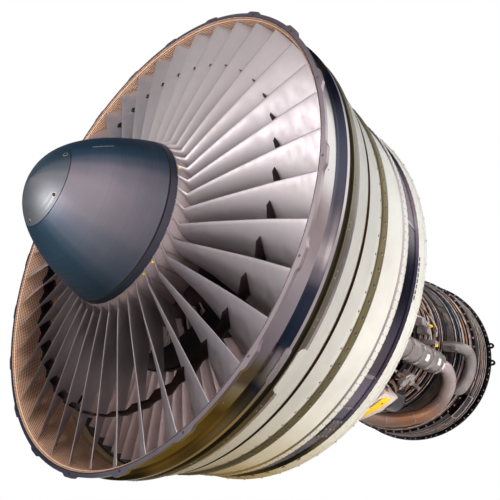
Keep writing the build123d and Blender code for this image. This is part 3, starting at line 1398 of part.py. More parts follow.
ACCESS_X = (786.0, 868.0)
ACCESS_THICK = 7.0
access_foot = [(x, radius_on(POLISHED_LINE, x) + SEAT + ACCESS_THICK) for x in ACCESS_X]
with BuildPart() as access_panel:
    sector(skin(access_foot, ACCESS_THICK), 236, 6)
access_panel.part.label = "access_panel"
export_step(access_panel.part, "parts/access_panel.step")
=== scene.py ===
# %% [markdown]
# # A jet engine, dressed for a studio photograph
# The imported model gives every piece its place. This script adds what the eye looks for: smooth skins,
# satin and polished metal, heat tints, rivets, bolts and screws. The scene is in metres, with X running
# down the engine from the spinner to the exhaust, and Z up. The tables are in millimetres, as a maker
# writes them, and turn into metres where a mesh is made.

import bpy
import bmesh
import math
from mathutils import Matrix, Vector


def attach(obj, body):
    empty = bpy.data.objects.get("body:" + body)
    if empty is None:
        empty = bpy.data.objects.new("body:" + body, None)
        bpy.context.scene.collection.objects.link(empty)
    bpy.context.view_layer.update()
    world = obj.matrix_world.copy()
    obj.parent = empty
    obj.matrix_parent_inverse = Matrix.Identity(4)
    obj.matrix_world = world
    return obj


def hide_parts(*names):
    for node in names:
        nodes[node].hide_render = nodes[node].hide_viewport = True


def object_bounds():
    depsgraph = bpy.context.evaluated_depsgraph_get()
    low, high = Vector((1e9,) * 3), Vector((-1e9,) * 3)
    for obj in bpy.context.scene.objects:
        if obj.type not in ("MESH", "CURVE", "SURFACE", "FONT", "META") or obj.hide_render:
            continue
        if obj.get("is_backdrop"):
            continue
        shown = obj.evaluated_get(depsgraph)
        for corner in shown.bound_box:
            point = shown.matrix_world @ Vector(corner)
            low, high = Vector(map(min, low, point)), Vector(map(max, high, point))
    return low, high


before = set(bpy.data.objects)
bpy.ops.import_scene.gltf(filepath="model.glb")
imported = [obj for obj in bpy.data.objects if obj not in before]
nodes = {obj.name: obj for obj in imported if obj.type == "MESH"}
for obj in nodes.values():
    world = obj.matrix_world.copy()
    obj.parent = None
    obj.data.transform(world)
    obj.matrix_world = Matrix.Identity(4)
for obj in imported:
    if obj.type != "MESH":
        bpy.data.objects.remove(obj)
cad_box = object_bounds()

# %% [markdown]
# ## Camera
# The photograph was taken from low in front of the fan. A view can be set by turning a camera until it
# fits, but a measured one is kept better as three directions of the camera's own axes.

# %% Camera
CAMERA_PLACE = Vector((-1.2159, -1.9090, -1.3966))
CAMERA_RIGHT = Vector((0.6825, -0.7309, 0.0))
CAMERA_UP = Vector((-0.3371, -0.3148, 0.8872))
SENSOR_MM = 36.0
PHOTO_SIDE = 500
FOCAL_PX = 492.83
PRINCIPAL_PX = (235.31, 267.69)
FARTHEST = 200

camera_data = bpy.data.cameras.new("camera")
camera_data.sensor_width = SENSOR_MM
camera_data.lens = FOCAL_PX / PHOTO_SIDE * SENSOR_MM
camera_data.shift_x = (PHOTO_SIDE / 2 - PRINCIPAL_PX[0]) / PHOTO_SIDE
camera_data.shift_y = (PRINCIPAL_PX[1] - PHOTO_SIDE / 2) / PHOTO_SIDE
camera_data.clip_end = FARTHEST
camera = bpy.data.objects.new("camera", camera_data)
bpy.context.scene.collection.objects.link(camera)
right = CAMERA_RIGHT.normalized()
up = (CAMERA_UP - right * CAMERA_UP.dot(right)).normalized()
back = right.cross(up)
turn = Matrix((right, up, back)).transposed()
camera.matrix_world = Matrix.Translation(CAMERA_PLACE) @ turn.to_4x4()
bpy.context.scene.camera = camera
bpy.context.scene.view_settings.view_transform = "Standard"
print("lens", round(camera_data.lens, 2), "looking along", [round(-c, 3) for c in back])

# %% [markdown]
# ## Studio
# The photograph has a plain white background, but the polished metal in it shows what the room held:
# soft boxes round the horizon, a dark ceiling, a dark gap between two boxes and an olive floor under
# the engine. A photographed room could stand round it, but its lamps would fall in other places. So the
# world is white to the camera, and only mirrors see a room that is painted in a few soft patches. The
# real floor is pale, and mirrors see it olive under the engine and pinkish grey further out.


# %% Node helpers
def feed(tree, value, socket):
    """Fills a socket from another socket, or with a number, a vector or a colour."""
    if isinstance(value, bpy.types.NodeSocket):
        tree.links.new(value, socket)
    elif socket.type == "RGBA":
        socket.default_value = (*value, 1)
    else:
        socket.default_value = value


def make_node(tree, kind, *fed, **named):
    """Adds a node. Inputs are fed in order or by name; a name that starts with _ is a property."""
    node = tree.nodes.new(kind)
    for key in [k for k in named if k.startswith("_")]:
        setattr(node, key[1:], named.pop(key))
    for value, socket in zip(fed, node.inputs):
        feed(tree, value, socket)
    for key, value in named.items():
        feed(tree, value, node.inputs[key.replace("_", " ")])
    return node


def maths(tree, operation, *values):
    """The result of one sum on numbers or sockets."""
    return make_node(tree, "ShaderNodeMath", *values, _operation=operation).outputs[0]


def mixed_colour(tree, share, first, second, blend="MIX"):
    """Mixes two colours; each may be a socket or a plain colour."""
    mix = make_node(tree, "ShaderNodeMix", share, _data_type="RGBA", _blend_type=blend)
    feed(tree, first, mix.inputs[6])
    feed(tree, second, mix.inputs[7])
    return mix.outputs[2]


def ramp_of(tree, value, stops, interpolation="LINEAR"):
    """Colour from a value, by stops of (position, red, green, blue) or (position, grey)."""
    node = make_node(tree, "ShaderNodeValToRGB", value)
    band = node.color_ramp
    band.interpolation = interpolation
    while len(band.elements) > 1:
        band.elements.remove(band.elements[-1])
    for i, (position, *colour) in enumerate(stops):
        stop = band.elements.new(position) if i else band.elements[0]
        stop.position = position
        stop.color = (*(colour if len(colour) == 3 else colour * 3), 1)
    return node.outputs[0]


# %% World
ROOM_LIGHT = 0.26
ELEVATION_STOPS = [
    (0.00, 0.16, 0.12, 0.06), (0.25, 0.30, 0.27, 0.27), (0.35, 0.46, 0.42, 0.43),
    (0.52, 0.46, 0.42, 0.43), (0.64, 0.74, 0.71, 0.70), (0.80, 0.78, 0.76, 0.75),
    (0.86, 0.42, 0.41, 0.43), (0.91, 0.11, 0.11, 0.14), (1.00, 0.04, 0.045, 0.065),
]
# Soft boxes and gaps seen by mirrors: azimuth, elevation, inner and outer half-width, colour
LOBES = [
    (318, 30, 10, 26, (0.95, 0.94, 0.93)),
    (344, 8, 5, 15, (0.015, 0.022, 0.04)),
    (20, 10, 20, 45, (0.10, 0.11, 0.15)),
    (200, -20, 15, 45, (0.80, 0.72, 0.71)),
    (100, 5, 20, 50, (0.12, 0.13, 0.17)),
]
world = bpy.data.worlds.new("studio")
bpy.context.scene.world = world
world.use_nodes = True
tree = world.node_tree
tree.nodes.clear()
direction = tree.nodes.new("ShaderNodeTexCoord").outputs["Generated"]
split = make_node(tree, "ShaderNodeSeparateXYZ", direction)
height = make_node(tree, "ShaderNodeMapRange", split.outputs["Z"], -1.0, 1.0)
room = ramp_of(tree, height.outputs[0], ELEVATION_STOPS)
for azimuth, elevation, inner, outer, colour in LOBES:
    round_turn, rise = math.radians(azimuth), math.radians(elevation)
    aim = (math.cos(rise) * math.cos(round_turn), math.cos(rise) * math.sin(round_turn), math.sin(rise))
    near = make_node(tree, "ShaderNodeVectorMath", direction, aim, _operation="DOT_PRODUCT")
    limits = [math.cos(math.radians(width)) for width in (outer, inner)]
    reach = make_node(
        tree, "ShaderNodeMapRange", near.outputs["Value"], *limits, _interpolation_type="SMOOTHSTEP"
    )
    room = mixed_colour(tree, reach.outputs[0], room, colour)
rays = tree.nodes.new("ShaderNodeLightPath").outputs
lit = mixed_colour(tree, rays["Is Glossy Ray"], (ROOM_LIGHT,) * 3, room)
seen = maths(tree, "MAXIMUM", rays["Is Camera Ray"], rays["Is Transmission Ray"])
background = make_node(tree, "ShaderNodeBackground", mixed_colour(tree, seen, lit, (1.0, 1.0, 1.0)))
make_node(tree, "ShaderNodeOutputWorld", background.outputs[0])
print("world nodes", len(tree.nodes))

# %% Floor
FLOOR_Z = -1.95
FLOOR_RADIUS = 14.0
FLOOR_SIDES = 64
FLOOR_COLOUR = (0.92, 0.91, 0.9)
OLIVE_CENTRE = (1.0, 0.6, FLOOR_Z)
FLOOR_STOPS = [
    (0.00, 0.16, 0.115, 0.035), (0.07, 0.26, 0.19, 0.065), (0.10, 0.18, 0.14, 0.09),
    (0.14, 0.24, 0.22, 0.23), (0.20, 0.40, 0.37, 0.38), (0.30, 0.46, 0.42, 0.43),
    (1.00, 0.46, 0.42, 0.43),
]
floor_mesh = bpy.data.meshes.new("floor")
shape = bmesh.new()
bmesh.ops.create_circle(shape, cap_ends=True, radius=FLOOR_RADIUS, segments=FLOOR_SIDES)
shape.to_mesh(floor_mesh)
shape.free()
floor = bpy.data.objects.new("floor", floor_mesh)
floor.location.z = FLOOR_Z
bpy.context.scene.collection.objects.link(floor)
floor_paint = bpy.data.materials.new("floor_paint")
floor_paint.use_nodes = True
tree = floor_paint.node_tree
shader = tree.nodes["Principled BSDF"]
feed(tree, FLOOR_COLOUR, shader.inputs["Base Color"])
feed(tree, 0.9, shader.inputs["Roughness"])
where = tree.nodes.new("ShaderNodeNewGeometry").outputs["Position"]
distance = make_node(tree, "ShaderNodeVectorMath", where, OLIVE_CENTRE, _operation="DISTANCE")
share = make_node(tree, "ShaderNodeMapRange", distance.outputs["Value"], 0.0, FLOOR_RADIUS)
mirrored = make_node(tree, "ShaderNodeEmission", ramp_of(tree, share.outputs[0], FLOOR_STOPS))
in_mirrors = tree.nodes.new("ShaderNodeLightPath").outputs["Is Glossy Ray"]
choice = make_node(tree, "ShaderNodeMixShader", in_mirrors, shader.outputs[0], mirrored.outputs[0])
feed(tree, choice.outputs[0], tree.nodes["Material Output"].inputs["Surface"])
floor_mesh.materials.append(floor_paint)
floor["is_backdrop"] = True
print("floor at", FLOOR_Z)


# %% [markdown]
# ### Lamps
# A studio lights metal with large soft boxes. One big lamp would do for a matt thing, but polished rings
# mirror every lamp, so only the key lamp shows in them. The others are hidden from mirrors and only fill.

# %% Lamps
def soft_box(name, place, target, width, height, watts, colour, mirrored=False):
    """A rectangular lamp that faces a point; mirrors see it only if told so."""
    lamp_data = bpy.data.lights.new(name, "AREA")
    lamp_data.shape = "RECTANGLE"
    lamp_data.size = width
    lamp_data.size_y = height
    lamp_data.energy = watts
    lamp_data.color = colour
    lamp = bpy.data.objects.new(name, lamp_data)
    lamp.location = place
    lamp.rotation_euler = (Vector(target) - Vector(place)).to_track_quat("-Z", "Y").to_euler()
    lamp.visible_glossy = mirrored
    bpy.context.scene.collection.objects.link(lamp)


soft_box("key_lamp", (-5.2, 0.9, -1.2), (0, 0, 0), 2.4, 1.4, 108, (1.0, 0.96, 0.965), mirrored=True)
soft_box("side_lamp", (0.3, -6.0, 1.6), (0.8, 0, 0), 3.0, 2.5, 88, (1.0, 0.98, 0.95))
soft_box("low_lamp", (0.4, -3.8, -1.5), (0.6, 0, -0.8), 3.2, 0.8, 200, (1.0, 0.96, 0.93))
soft_box("front_fill", (-2.6, -3.6, 1.4), (0, 0.6, -0.5), 2.0, 2.0, 85, (1.0, 0.96, 0.93))
print("lamps", len(bpy.data.lights))

# %% [markdown]
# ## Finishes
# The same few effects appear in many finishes: fine turning lines that run round the axis, broad soft
# stains, a grid of small holes, and a tint that changes round the ring, which mostly paints light, shade
# and reflections into the colour. Each could be drawn anew in every material, but a shader group with named
# inputs is built once, and every material sets its own strengths.


# %% Shader groups
def new_group(name, inputs, outputs):
    """An empty shader group with a position, named numbers in and named numbers out."""
    group = bpy.data.node_groups.new(name, "ShaderNodeTree")
    group.interface.new_socket("Position", in_out="INPUT", socket_type="NodeSocketVector")
    for label, value in inputs.items():
        socket = group.interface.new_socket(label, in_out="INPUT", socket_type="NodeSocketFloat")
        socket.default_value = value
    for label in outputs:
        group.interface.new_socket(label, in_out="OUTPUT", socket_type="NodeSocketFloat")
    return group, group.nodes.new("NodeGroupInput").outputs, group.nodes.new("NodeGroupOutput").inputs


def placed_group(tree, group, position, **values):
    """One of the groups in a tree, fed with a position and its own values; returns its outputs."""
    return make_node(tree, "ShaderNodeGroup", _node_tree=group, Position=position, **values).outputs


# Station along the axis, distance from it and share of a turn, from a position
POLAR, given, result = new_group("round_the_axis", {}, ["Station", "Distance", "Turn"])
parts = make_node(POLAR, "ShaderNodeSeparateXYZ", given["Position"]).outputs
flat = make_node(POLAR, "ShaderNodeCombineXYZ", Y=parts["Y"], Z=parts["Z"])
length = make_node(POLAR, "ShaderNodeVectorMath", flat.outputs[0], _operation="LENGTH")
angle = maths(POLAR, "ARCTAN2", parts["Z"], parts["Y"])
share = make_node(POLAR, "ShaderNodeMapRange", angle, -math.pi, math.pi)
feed(POLAR, parts["X"], result["Station"])
feed(POLAR, length.outputs["Value"], result["Distance"])
feed(POLAR, share.outputs[0], result["Turn"])
print(POLAR.name, len(POLAR.nodes), "nodes")

# %% Turning lines
# Fine lines that run round the axis, as a lathe or a polishing belt leaves them
TURNING, given, result = new_group("turning_lines", {"Lines per metre": 400.0, "Unevenness": 2.0}, ["Lines"])
polar = placed_group(TURNING, POLAR, given["Position"])
FACTORS = {"Station": "Lines per metre", "Distance": "Lines per metre", "Turn": "Unevenness"}
scaled = [maths(TURNING, "MULTIPLY", polar[measure], given[factor]) for measure, factor in FACTORS.items()]
place = make_node(TURNING, "ShaderNodeCombineXYZ", *scaled)
noise = make_node(TURNING, "ShaderNodeTexNoise", Vector=place.outputs[0], Scale=1.0, Detail=2.0)
feed(TURNING, noise.outputs["Fac"], result["Lines"])
print(TURNING.name, len(TURNING.nodes), "nodes")

# %% Soft stains and small holes
# Broad soft patches, from 0 to 1
STAIN, given, result = new_group(
    "soft_stains", {"Patches per metre": 6.0, "Cover": 0.5, "Softness": 0.2}, ["Mask"]
)
size = given["Patches per metre"]
noise = make_node(
    STAIN, "ShaderNodeTexNoise", Vector=given["Position"], Scale=size, Detail=4.0, Roughness=0.6
)
opened = maths(STAIN, "SUBTRACT", 1.0, given["Cover"])
limits = [maths(STAIN, step, opened, given["Softness"]) for step in ("SUBTRACT", "ADD")]
mask = make_node(
    STAIN, "ShaderNodeMapRange", noise.outputs["Fac"], *limits, _interpolation_type="SMOOTHSTEP"
)
feed(STAIN, mask.outputs[0], result["Mask"])

# A grid of small round holes in a drum of a given radius: 1 in a hole and 0 between
HOLES, given, result = new_group("small_holes", {"Pitch": 0.01, "Size": 0.3, "Radius": 1.0}, ["Mask"])
polar = placed_group(HOLES, POLAR, given["Position"])
round_it = maths(HOLES, "MULTIPLY", polar["Turn"], maths(HOLES, "MULTIPLY", given["Radius"], 2 * math.pi))
counts = [maths(HOLES, "DIVIDE", value, given["Pitch"]) for value in (polar["Station"], round_it)]
cell = make_node(HOLES, "ShaderNodeCombineXYZ", *[maths(HOLES, "FRACT", count) for count in counts])
off = make_node(HOLES, "ShaderNodeVectorMath", cell.outputs[0], (0.5, 0.5, 0), _operation="DISTANCE")
feed(HOLES, maths(HOLES, "LESS_THAN", off.outputs["Value"], given["Size"]), result["Mask"])
print("shader groups", [group.name for group in bpy.data.node_groups])

# %% [markdown]
# ### One recipe for metal
# Every metal here is a Principled surface whose colour drifts between two tones in broad stains, with
# turning lines in its roughness and its bump. A ring whose colour changes round its axis gives its own stops
# round the turn: 0.5 is the +Y side and 0.25 is the bottom. On the spinner, the flange lugs and the fan
# case's bands these stops are painted light, shade and reflections; on the bent duct they are a heat tint.

# %% Metal recipe
GRIME_COLOUR = (0.03, 0.025, 0.02)
HOLE_SHADE = (0.05, 0.02, 0.012)
GRIME_PATCHES = 14.0
GRIME_SOFTNESS = 0.12
LINE_HEIGHT = 0.0004
SMOOTHER, ROUGHER = 0.75, 1.3


def metal(
    name,
    colour,
    second,
    roughness,
    metallic=1.0,
    lines=350.0,
    line_depth=0.15,
    patches=5.0,
    cover=0.5,
    round_stops=None,
    along_stops=None,
    along=(0.0, 1.0),
    uneven=2.0,
    coat=0.0,
    grime=0.0,
    holes=None,
):
    """A metal with drifting tones, turning lines and, if given, tints and painted light round or along the
    axis.
    """
    material = bpy.data.materials.new(name)
    material.use_nodes = True
    tree = material.node_tree
    surface = tree.nodes["Principled BSDF"].inputs
    surface["Metallic"].default_value = metallic
    surface["Coat Weight"].default_value = coat
    position = tree.nodes.new("ShaderNodeTexCoord").outputs["Object"]
    polar = placed_group(tree, POLAR, position)
    stains = placed_group(tree, STAIN, position, Patches_per_metre=patches, Cover=cover)
    tone = mixed_colour(tree, stains["Mask"], colour, second)
    for measure, stops, reach in (("Turn", round_stops, (0.0, 1.0)), ("Station", along_stops, along)):
        if stops:
            span = make_node(tree, "ShaderNodeMapRange", polar[measure], *reach)
            tone = mixed_colour(tree, 1.0, tone, ramp_of(tree, span.outputs[0], stops, "EASE"), "MULTIPLY")
    if grime:
        dirt = placed_group(
            tree, STAIN, position, Patches_per_metre=GRIME_PATCHES, Cover=grime, Softness=GRIME_SOFTNESS
        )
        tone = mixed_colour(tree, dirt["Mask"], tone, GRIME_COLOUR)
    if holes:
        pierced = placed_group(tree, HOLES, position, Pitch=holes[0], Size=holes[1], Radius=holes[2])
        tone = mixed_colour(tree, pierced["Mask"], tone, HOLE_SHADE)
    feed(tree, tone, surface["Base Color"])
    turning = placed_group(tree, TURNING, position, Lines_per_metre=lines, Unevenness=uneven)["Lines"]
    limits = {"To_Min": roughness * SMOOTHER, "To_Max": roughness * ROUGHER}
    feed(tree, make_node(tree, "ShaderNodeMapRange", turning, **limits).outputs[0], surface["Roughness"])
    bump = make_node(tree, "ShaderNodeBump", Strength=line_depth, Distance=LINE_HEIGHT, Height=turning)
    feed(tree, bump.outputs[0], surface["Normal"])
    return material


# %% [markdown]
# ### Finishes of the fan and its case
# Titanium blades are satin, with a bright worn edge. The spinner's grey paint carries painted light and
# reflection: lighter on the -Y side and towards the tip, deep blue underneath, on the +Y side and on top.
# The case's rings are polished like mirrors, with the dark and olive bars that the room puts in them.
# Mirrors alone would move those bars with every view, so they are painted reflections: tints round the turn.

# %% Finishes of the blades and the spinner
TITANIUM = metal("blade_titanium", (0.62, 0.575, 0.59), (0.55, 0.51, 0.53), 0.47, 0.93, 30, 0.03, patches=2)
BLADE_EDGE = metal("polished_blade_edge", (0.84, 0.76, 0.75), (0.70, 0.63, 0.63), 0.32, line_depth=0.0)
SNUBBER = metal("snubber_metal", (0.085, 0.07, 0.08), (0.055, 0.048, 0.06), 0.30, lines=40, line_depth=0.05)
PLATFORM = metal("platform_metal", (0.60, 0.50, 0.50), (0.48, 0.40, 0.42), 0.36, 0.8, patches=8)
HUB_METAL = metal("hub_metal", (0.34, 0.33, 0.35), (0.28, 0.27, 0.29), 0.38)
# Painted light and reflection on the spinner: lighter on the -Y side, deep blue underneath, on +Y and on top
SPINNER_PAINTED_LIGHT_TURN = [
    (0.0, 0.76, 0.74, 0.82), (0.05, 0.98, 0.93, 0.99), (0.115, 0.94, 0.93, 0.98),
    (0.15, 0.70, 0.78, 0.88), (0.19, 0.50, 0.66, 0.79), (0.215, 0.30, 0.49, 0.63),
    (0.24, 0.15, 0.35, 0.49), (0.30, 0.10, 0.29, 0.43), (0.50, 0.10, 0.30, 0.46),
    (0.90, 0.08, 0.24, 0.38), (0.945, 0.16, 0.34, 0.50), (0.97, 0.40, 0.50, 0.62),
    (1.0, 0.76, 0.74, 0.82),
]
# Painted light along the spinner: lighter towards the tip, darker and bluer towards the base
SPINNER_PAINTED_LIGHT_ALONG = [
    (0.0, 1.0), (0.40, 1.0), (0.60, 0.82, 0.83, 0.84), (0.78, 0.66, 0.69, 0.72), (0.90, 0.58, 0.63, 0.68),
    (1.0, 0.46, 0.53, 0.60),
]
# Painted highlight and shade on the cap: lightest underneath and on the -Y side, dark blue on top
CAP_PAINTED_LIGHT_TURN = [
    (0.0, 0.50, 0.57, 0.64), (0.04, 0.80, 0.83, 0.87), (0.10, 1), (0.35, 0.80, 0.84, 0.88),
    (0.50, 0.40, 0.48, 0.56), (0.75, 0.14, 0.30, 0.44), (0.93, 0.12, 0.28, 0.42), (1.0, 0.50, 0.57, 0.64),
]
PAINT = {"lines": 120, "line_depth": 0.02}
CAP_COAT = metal("cap_coat", (0.27, 0.28, 0.30), (0.25, 0.26, 0.28), 0.46, 0.8, round_stops=CAP_PAINTED_LIGHT_TURN, **PAINT)
SPINNER_COAT = metal(
    "spinner_coat",
    (0.325, 0.305, 0.335),
    (0.285, 0.275, 0.305),
    0.50,
    0.8,
    round_stops=SPINNER_PAINTED_LIGHT_TURN,
    along_stops=SPINNER_PAINTED_LIGHT_ALONG,
    along=(-0.535, -0.05),
    **PAINT,
)
# The band's stops round the turn are the spinner's painted light and reflection
SPINNER_BAND = metal(
    "spinner_band",
    (0.085, 0.085, 0.11),
    (0.07, 0.075, 0.10),
    0.36,
    0.7,
    line_depth=0.02,
    round_stops=SPINNER_PAINTED_LIGHT_TURN,
)
print("materials with the blades and the spinner", len(bpy.data.materials))

# %% Finishes of the polished rings
LIP_METAL = metal("lip_metal", (0.86, 0.80, 0.80), (0.76, 0.70, 0.71), 0.22)
# Painted reflections on the polished barrel: white, olive and dark bars round the turn mirror the room
BARREL_REFLECTION_TURN = [
    (0.0, 0.97, 1.0, 0.97), (0.035, 0.93, 0.95, 0.94), (0.054, 0.50, 0.43, 0.44),
    (0.068, 0.72, 0.63, 0.64), (0.085, 0.84, 0.80, 0.82), (0.105, 0.62, 0.58, 0.62),
    (0.128, 0.60, 0.56, 0.58), (0.137, 0.38, 0.33, 0.19), (0.145, 0.40, 0.36, 0.25), (0.149, 1.0),
    (0.156, 0.58, 0.53, 0.42), (0.164, 0.26, 0.20, 0.08), (0.18, 0.36, 0.29, 0.12),
    (0.195, 0.56, 0.46, 0.20), (0.215, 0.50, 0.42, 0.20), (0.24, 0.12, 0.10, 0.05),
    (0.265, 0.03, 0.025, 0.02), (0.30, 0.30, 0.25, 0.12), (0.50, 0.75), (0.93, 0.30, 0.31, 0.35),
    (0.958, 0.25, 0.26, 0.30), (0.97, 0.85, 0.86, 0.85), (1.0, 0.97, 1.0, 0.97),
]
BARREL = metal(
    "polished_barrel", (0.95, 0.91, 0.91), (0.86, 0.81, 0.83), 0.15, line_depth=0.1, round_stops=BARREL_REFLECTION_TURN
)
# Painted reflection on the barrel's back fillet: mostly dark navy for the dark room, with pale and olive bars
BARREL_BACK_REFLECTION_TURN = [
    (0.0, 0.10, 0.12, 0.17), (0.045, 0.15, 0.15, 0.20), (0.062, 0.45, 0.42, 0.45),
    (0.073, 0.95, 0.92, 0.92), (0.083, 0.40, 0.39, 0.43), (0.092, 0.06, 0.08, 0.13),
    (0.120, 0.03, 0.05, 0.09), (0.127, 0.50, 0.47, 0.48), (0.138, 0.34, 0.31, 0.22),
    (0.144, 0.04, 0.05, 0.07), (0.153, 0.12, 0.10, 0.06), (0.175, 0.55, 0.42, 0.17),
    (0.195, 0.28, 0.21, 0.08), (0.22, 0.46, 0.36, 0.15), (0.24, 0.06, 0.05, 0.025),
    (0.265, 0.02, 0.018, 0.012), (0.30, 0.28, 0.24, 0.12), (0.60, 0.50), (0.93, 0.03, 0.04, 0.065),
    (0.95, 0.22, 0.19, 0.10), (0.962, 0.04, 0.055, 0.09), (1.0, 0.10, 0.12, 0.17),
]
BARREL_BACK = metal(
    "barrel_back_painted_reflection", (0.90, 0.86, 0.88), (0.80, 0.77, 0.80), 0.16, line_depth=0.1, round_stops=BARREL_BACK_REFLECTION_TURN
)
print("materials with the polished rings", len(bpy.data.materials))

# %% Finishes of the cream and dark bands
CHANNEL = metal("channel_shade", (0.24, 0.215, 0.15), (0.19, 0.175, 0.125), 0.35)
# Painted light and reflection: brighter low on the -Y side, olive gold at the bottom where the floor is
# mirrored
CREAM_PAINTED_LIGHT_TURN = [
    (0.0, 0.60, 0.61, 0.63), (0.04, 0.64, 0.645, 0.66), (0.08, 0.74, 0.74, 0.745),
    (0.13, 0.84, 0.83, 0.82), (0.165, 1.0, 0.98, 0.93), (0.205, 1.0, 0.92, 0.76),
    (0.235, 0.90, 0.74, 0.42), (0.27, 0.74, 0.56, 0.24), (0.32, 0.70, 0.56, 0.30), (0.5, 1), (0.9, 0.86),
    (1.0, 0.60, 0.61, 0.63),
]
CREAM_ALONG = [(0.0, 0.66), (0.35, 0.74), (0.46, 1), (1.0, 1)]
CREAM = metal(
    "cream_band",
    (0.80, 0.795, 0.735),
    (0.73, 0.725, 0.665),
    0.36,
    0.5,
    round_stops=CREAM_PAINTED_LIGHT_TURN,
    along_stops=CREAM_ALONG,
    along=(0.2, 0.96),
)
PALE = metal("lilac_band", (0.60, 0.54, 0.56), (0.52, 0.47, 0.50), 0.24, 0.9, round_stops=CREAM_PAINTED_LIGHT_TURN)
OLIVE = metal("olive_strip", (0.17, 0.145, 0.075), (0.135, 0.115, 0.06), 0.42, 0.7)
# Painted reflections on the rear polished band: navy for the dark room, white and olive bars for lamps and
# floor
REAR_BAND_REFLECTION_TURN = [
    (0.0, 0.62, 0.50, 0.52), (0.012, 0.85, 0.84, 0.84), (0.022, 0.55, 0.48, 0.52),
    (0.045, 0.14, 0.15, 0.24), (0.075, 0.20, 0.19, 0.27), (0.12, 0.34, 0.29, 0.34),
    (0.122, 0.62, 0.62, 0.70), (0.145, 0.85, 0.86, 0.92), (0.147, 0.70, 0.73, 0.84),
    (0.18, 0.95, 0.97, 1.0), (0.19, 0.25, 0.28, 0.40), (0.21, 0.10, 0.11, 0.18), (0.24, 0.45, 0.38, 0.22),
    (0.30, 0.30, 0.25, 0.15), (0.93, 0.40, 0.33, 0.36), (1.0, 0.62, 0.50, 0.52),
]
POLISHED_REAR_BAND = metal(
    "polished_band_painted_reflection", (0.52, 0.48, 0.54), (0.42, 0.40, 0.47), 0.16, lines=200, round_stops=REAR_BAND_REFLECTION_TURN
)
print("materials with the bands", len(bpy.data.materials))

# %% Finishes of grooves, rivets, lugs and vanes
GROOVE = metal("groove_shade", (0.10, 0.065, 0.035), (0.08, 0.05, 0.03), 0.5)
GROOVE_EDGE = metal("groove_tan", (0.34, 0.22, 0.11), (0.26, 0.18, 0.09), 0.4)
RAIL = metal("olive_rail", (0.36, 0.32, 0.24), (0.29, 0.26, 0.19), 0.3)
RIVET = metal("rivet_metal", (0.72, 0.68, 0.62), (0.60, 0.56, 0.52), 0.28)
DARK_DOT = metal("dark_dot", (0.02, 0.016, 0.013), (0.03, 0.024, 0.02), 0.5, 0.3)
# Painted light and shade on the lugs and straps: pale on the -Y side and below, darker over +Y and the top as
# the lip's shadow
LUG_PAINTED_LIGHT_TURN = [
    (0.0, 0.95, 0.90, 0.92), (0.08, 1.0, 0.97, 0.97), (0.24, 0.95, 0.94, 0.95), (0.28, 0.60, 0.60, 0.63),
    (0.32, 0.36, 0.38, 0.44), (0.50, 0.45, 0.45, 0.50), (0.76, 0.58, 0.55, 0.60),
    (0.88, 0.80, 0.75, 0.78), (1.0, 0.95, 0.90, 0.92),
]
LUG_METAL = metal("lug_mauve", (0.66, 0.59, 0.61), (0.54, 0.47, 0.50), 0.22, round_stops=LUG_PAINTED_LIGHT_TURN)
LINER_HOLES = (0.011, 0.34, 1.198)
LINER = metal("orange_liner", (1.0, 0.66, 0.46), (0.95, 0.56, 0.36), 0.7, 0.0, 350, 0.3, holes=LINER_HOLES)
VANE = metal("vane_alloy", (0.96, 0.80, 0.79), (0.84, 0.69, 0.69), 0.36, 0.4, lines=60)
# Painted shade: the frame, splitter and rings inside the duct are near-black navy for the shade there
FRAME_IN_PAINTED_SHADE = metal("frame_painted_shade", (0.035, 0.042, 0.06), (0.022, 0.028, 0.042), 0.35, 0.8)
print("materials with the whole fan and its case", len(bpy.data.materials))

# %% [markdown]
# ### Finishes of the core
# Steel and titanium that have been hot turn straw, bronze, purple and blue in bands, so the tint follows
# the station along the axis. Patchy grime over it keeps the bands from looking painted.

# %% Finishes of the core
HEAT_STOPS = [
    (0.0, 0.9, 0.9, 0.95), (0.35, 1.0, 0.86, 0.72), (0.55, 1.0, 0.70, 0.50), (0.72, 0.62, 0.62, 0.85),
    (0.85, 1.0, 0.80, 0.62), (1.0, 0.75, 0.72, 0.78),
]
CORE_STEEL = metal(
    "core_steel",
    (0.12, 0.10, 0.095),
    (0.045, 0.045, 0.055),
    0.34,
    patches=9,
    grime=0.45,
    along_stops=HEAT_STOPS,
    along=(2.0, 3.24),
)
HOT_STEEL = metal("hot_steel", (0.30, 0.22, 0.17), (0.16, 0.13, 0.13), 0.36, patches=12, grime=0.4)
REAR_STEEL = metal("rear_steel", (0.085, 0.075, 0.075), (0.045, 0.045, 0.055), 0.32, patches=7, grime=0.4)
BRACKET = metal("bracket_steel", (0.58, 0.52, 0.50), (0.30, 0.26, 0.26), 0.3, 0.7, patches=18, grime=0.3)
BRAID = metal("copper_braid", (0.60, 0.33, 0.22), (0.40, 0.24, 0.18), 0.4, 1.0, 900, 0.8, uneven=300)
BRONZE_TURN = [
    (0.0, 1.0, 0.96, 0.95), (0.115, 1.0, 0.95, 0.94), (0.145, 0.60, 0.47, 0.42), (0.17, 0.80, 0.47, 0.28),
    (0.195, 0.62, 0.33, 0.18), (0.235, 0.62, 0.46, 0.36), (0.27, 0.70, 0.64, 0.62), (1.0, 1),
]
HEAT_BRONZE = metal(
    "heat_bronze",
    (0.74, 0.66, 0.66),
    (0.58, 0.52, 0.54),
    0.30,
    0.8,
    patches=7,
    grime=0.2,
    round_stops=BRONZE_TURN,
)
COPPER = metal("copper_tube", (0.62, 0.34, 0.23), (0.22, 0.14, 0.12), 0.28, 0.72, patches=16, grime=0.4)
PATCH = metal("copper_patch", (0.36, 0.21, 0.15), (0.07, 0.065, 0.075), 0.32, patches=9, cover=0.6, grime=0.4)
BRIGHT_TUBE = metal("bright_tube", (0.80, 0.71, 0.67), (0.34, 0.30, 0.30), 0.24, 0.66, patches=13, grime=0.36)
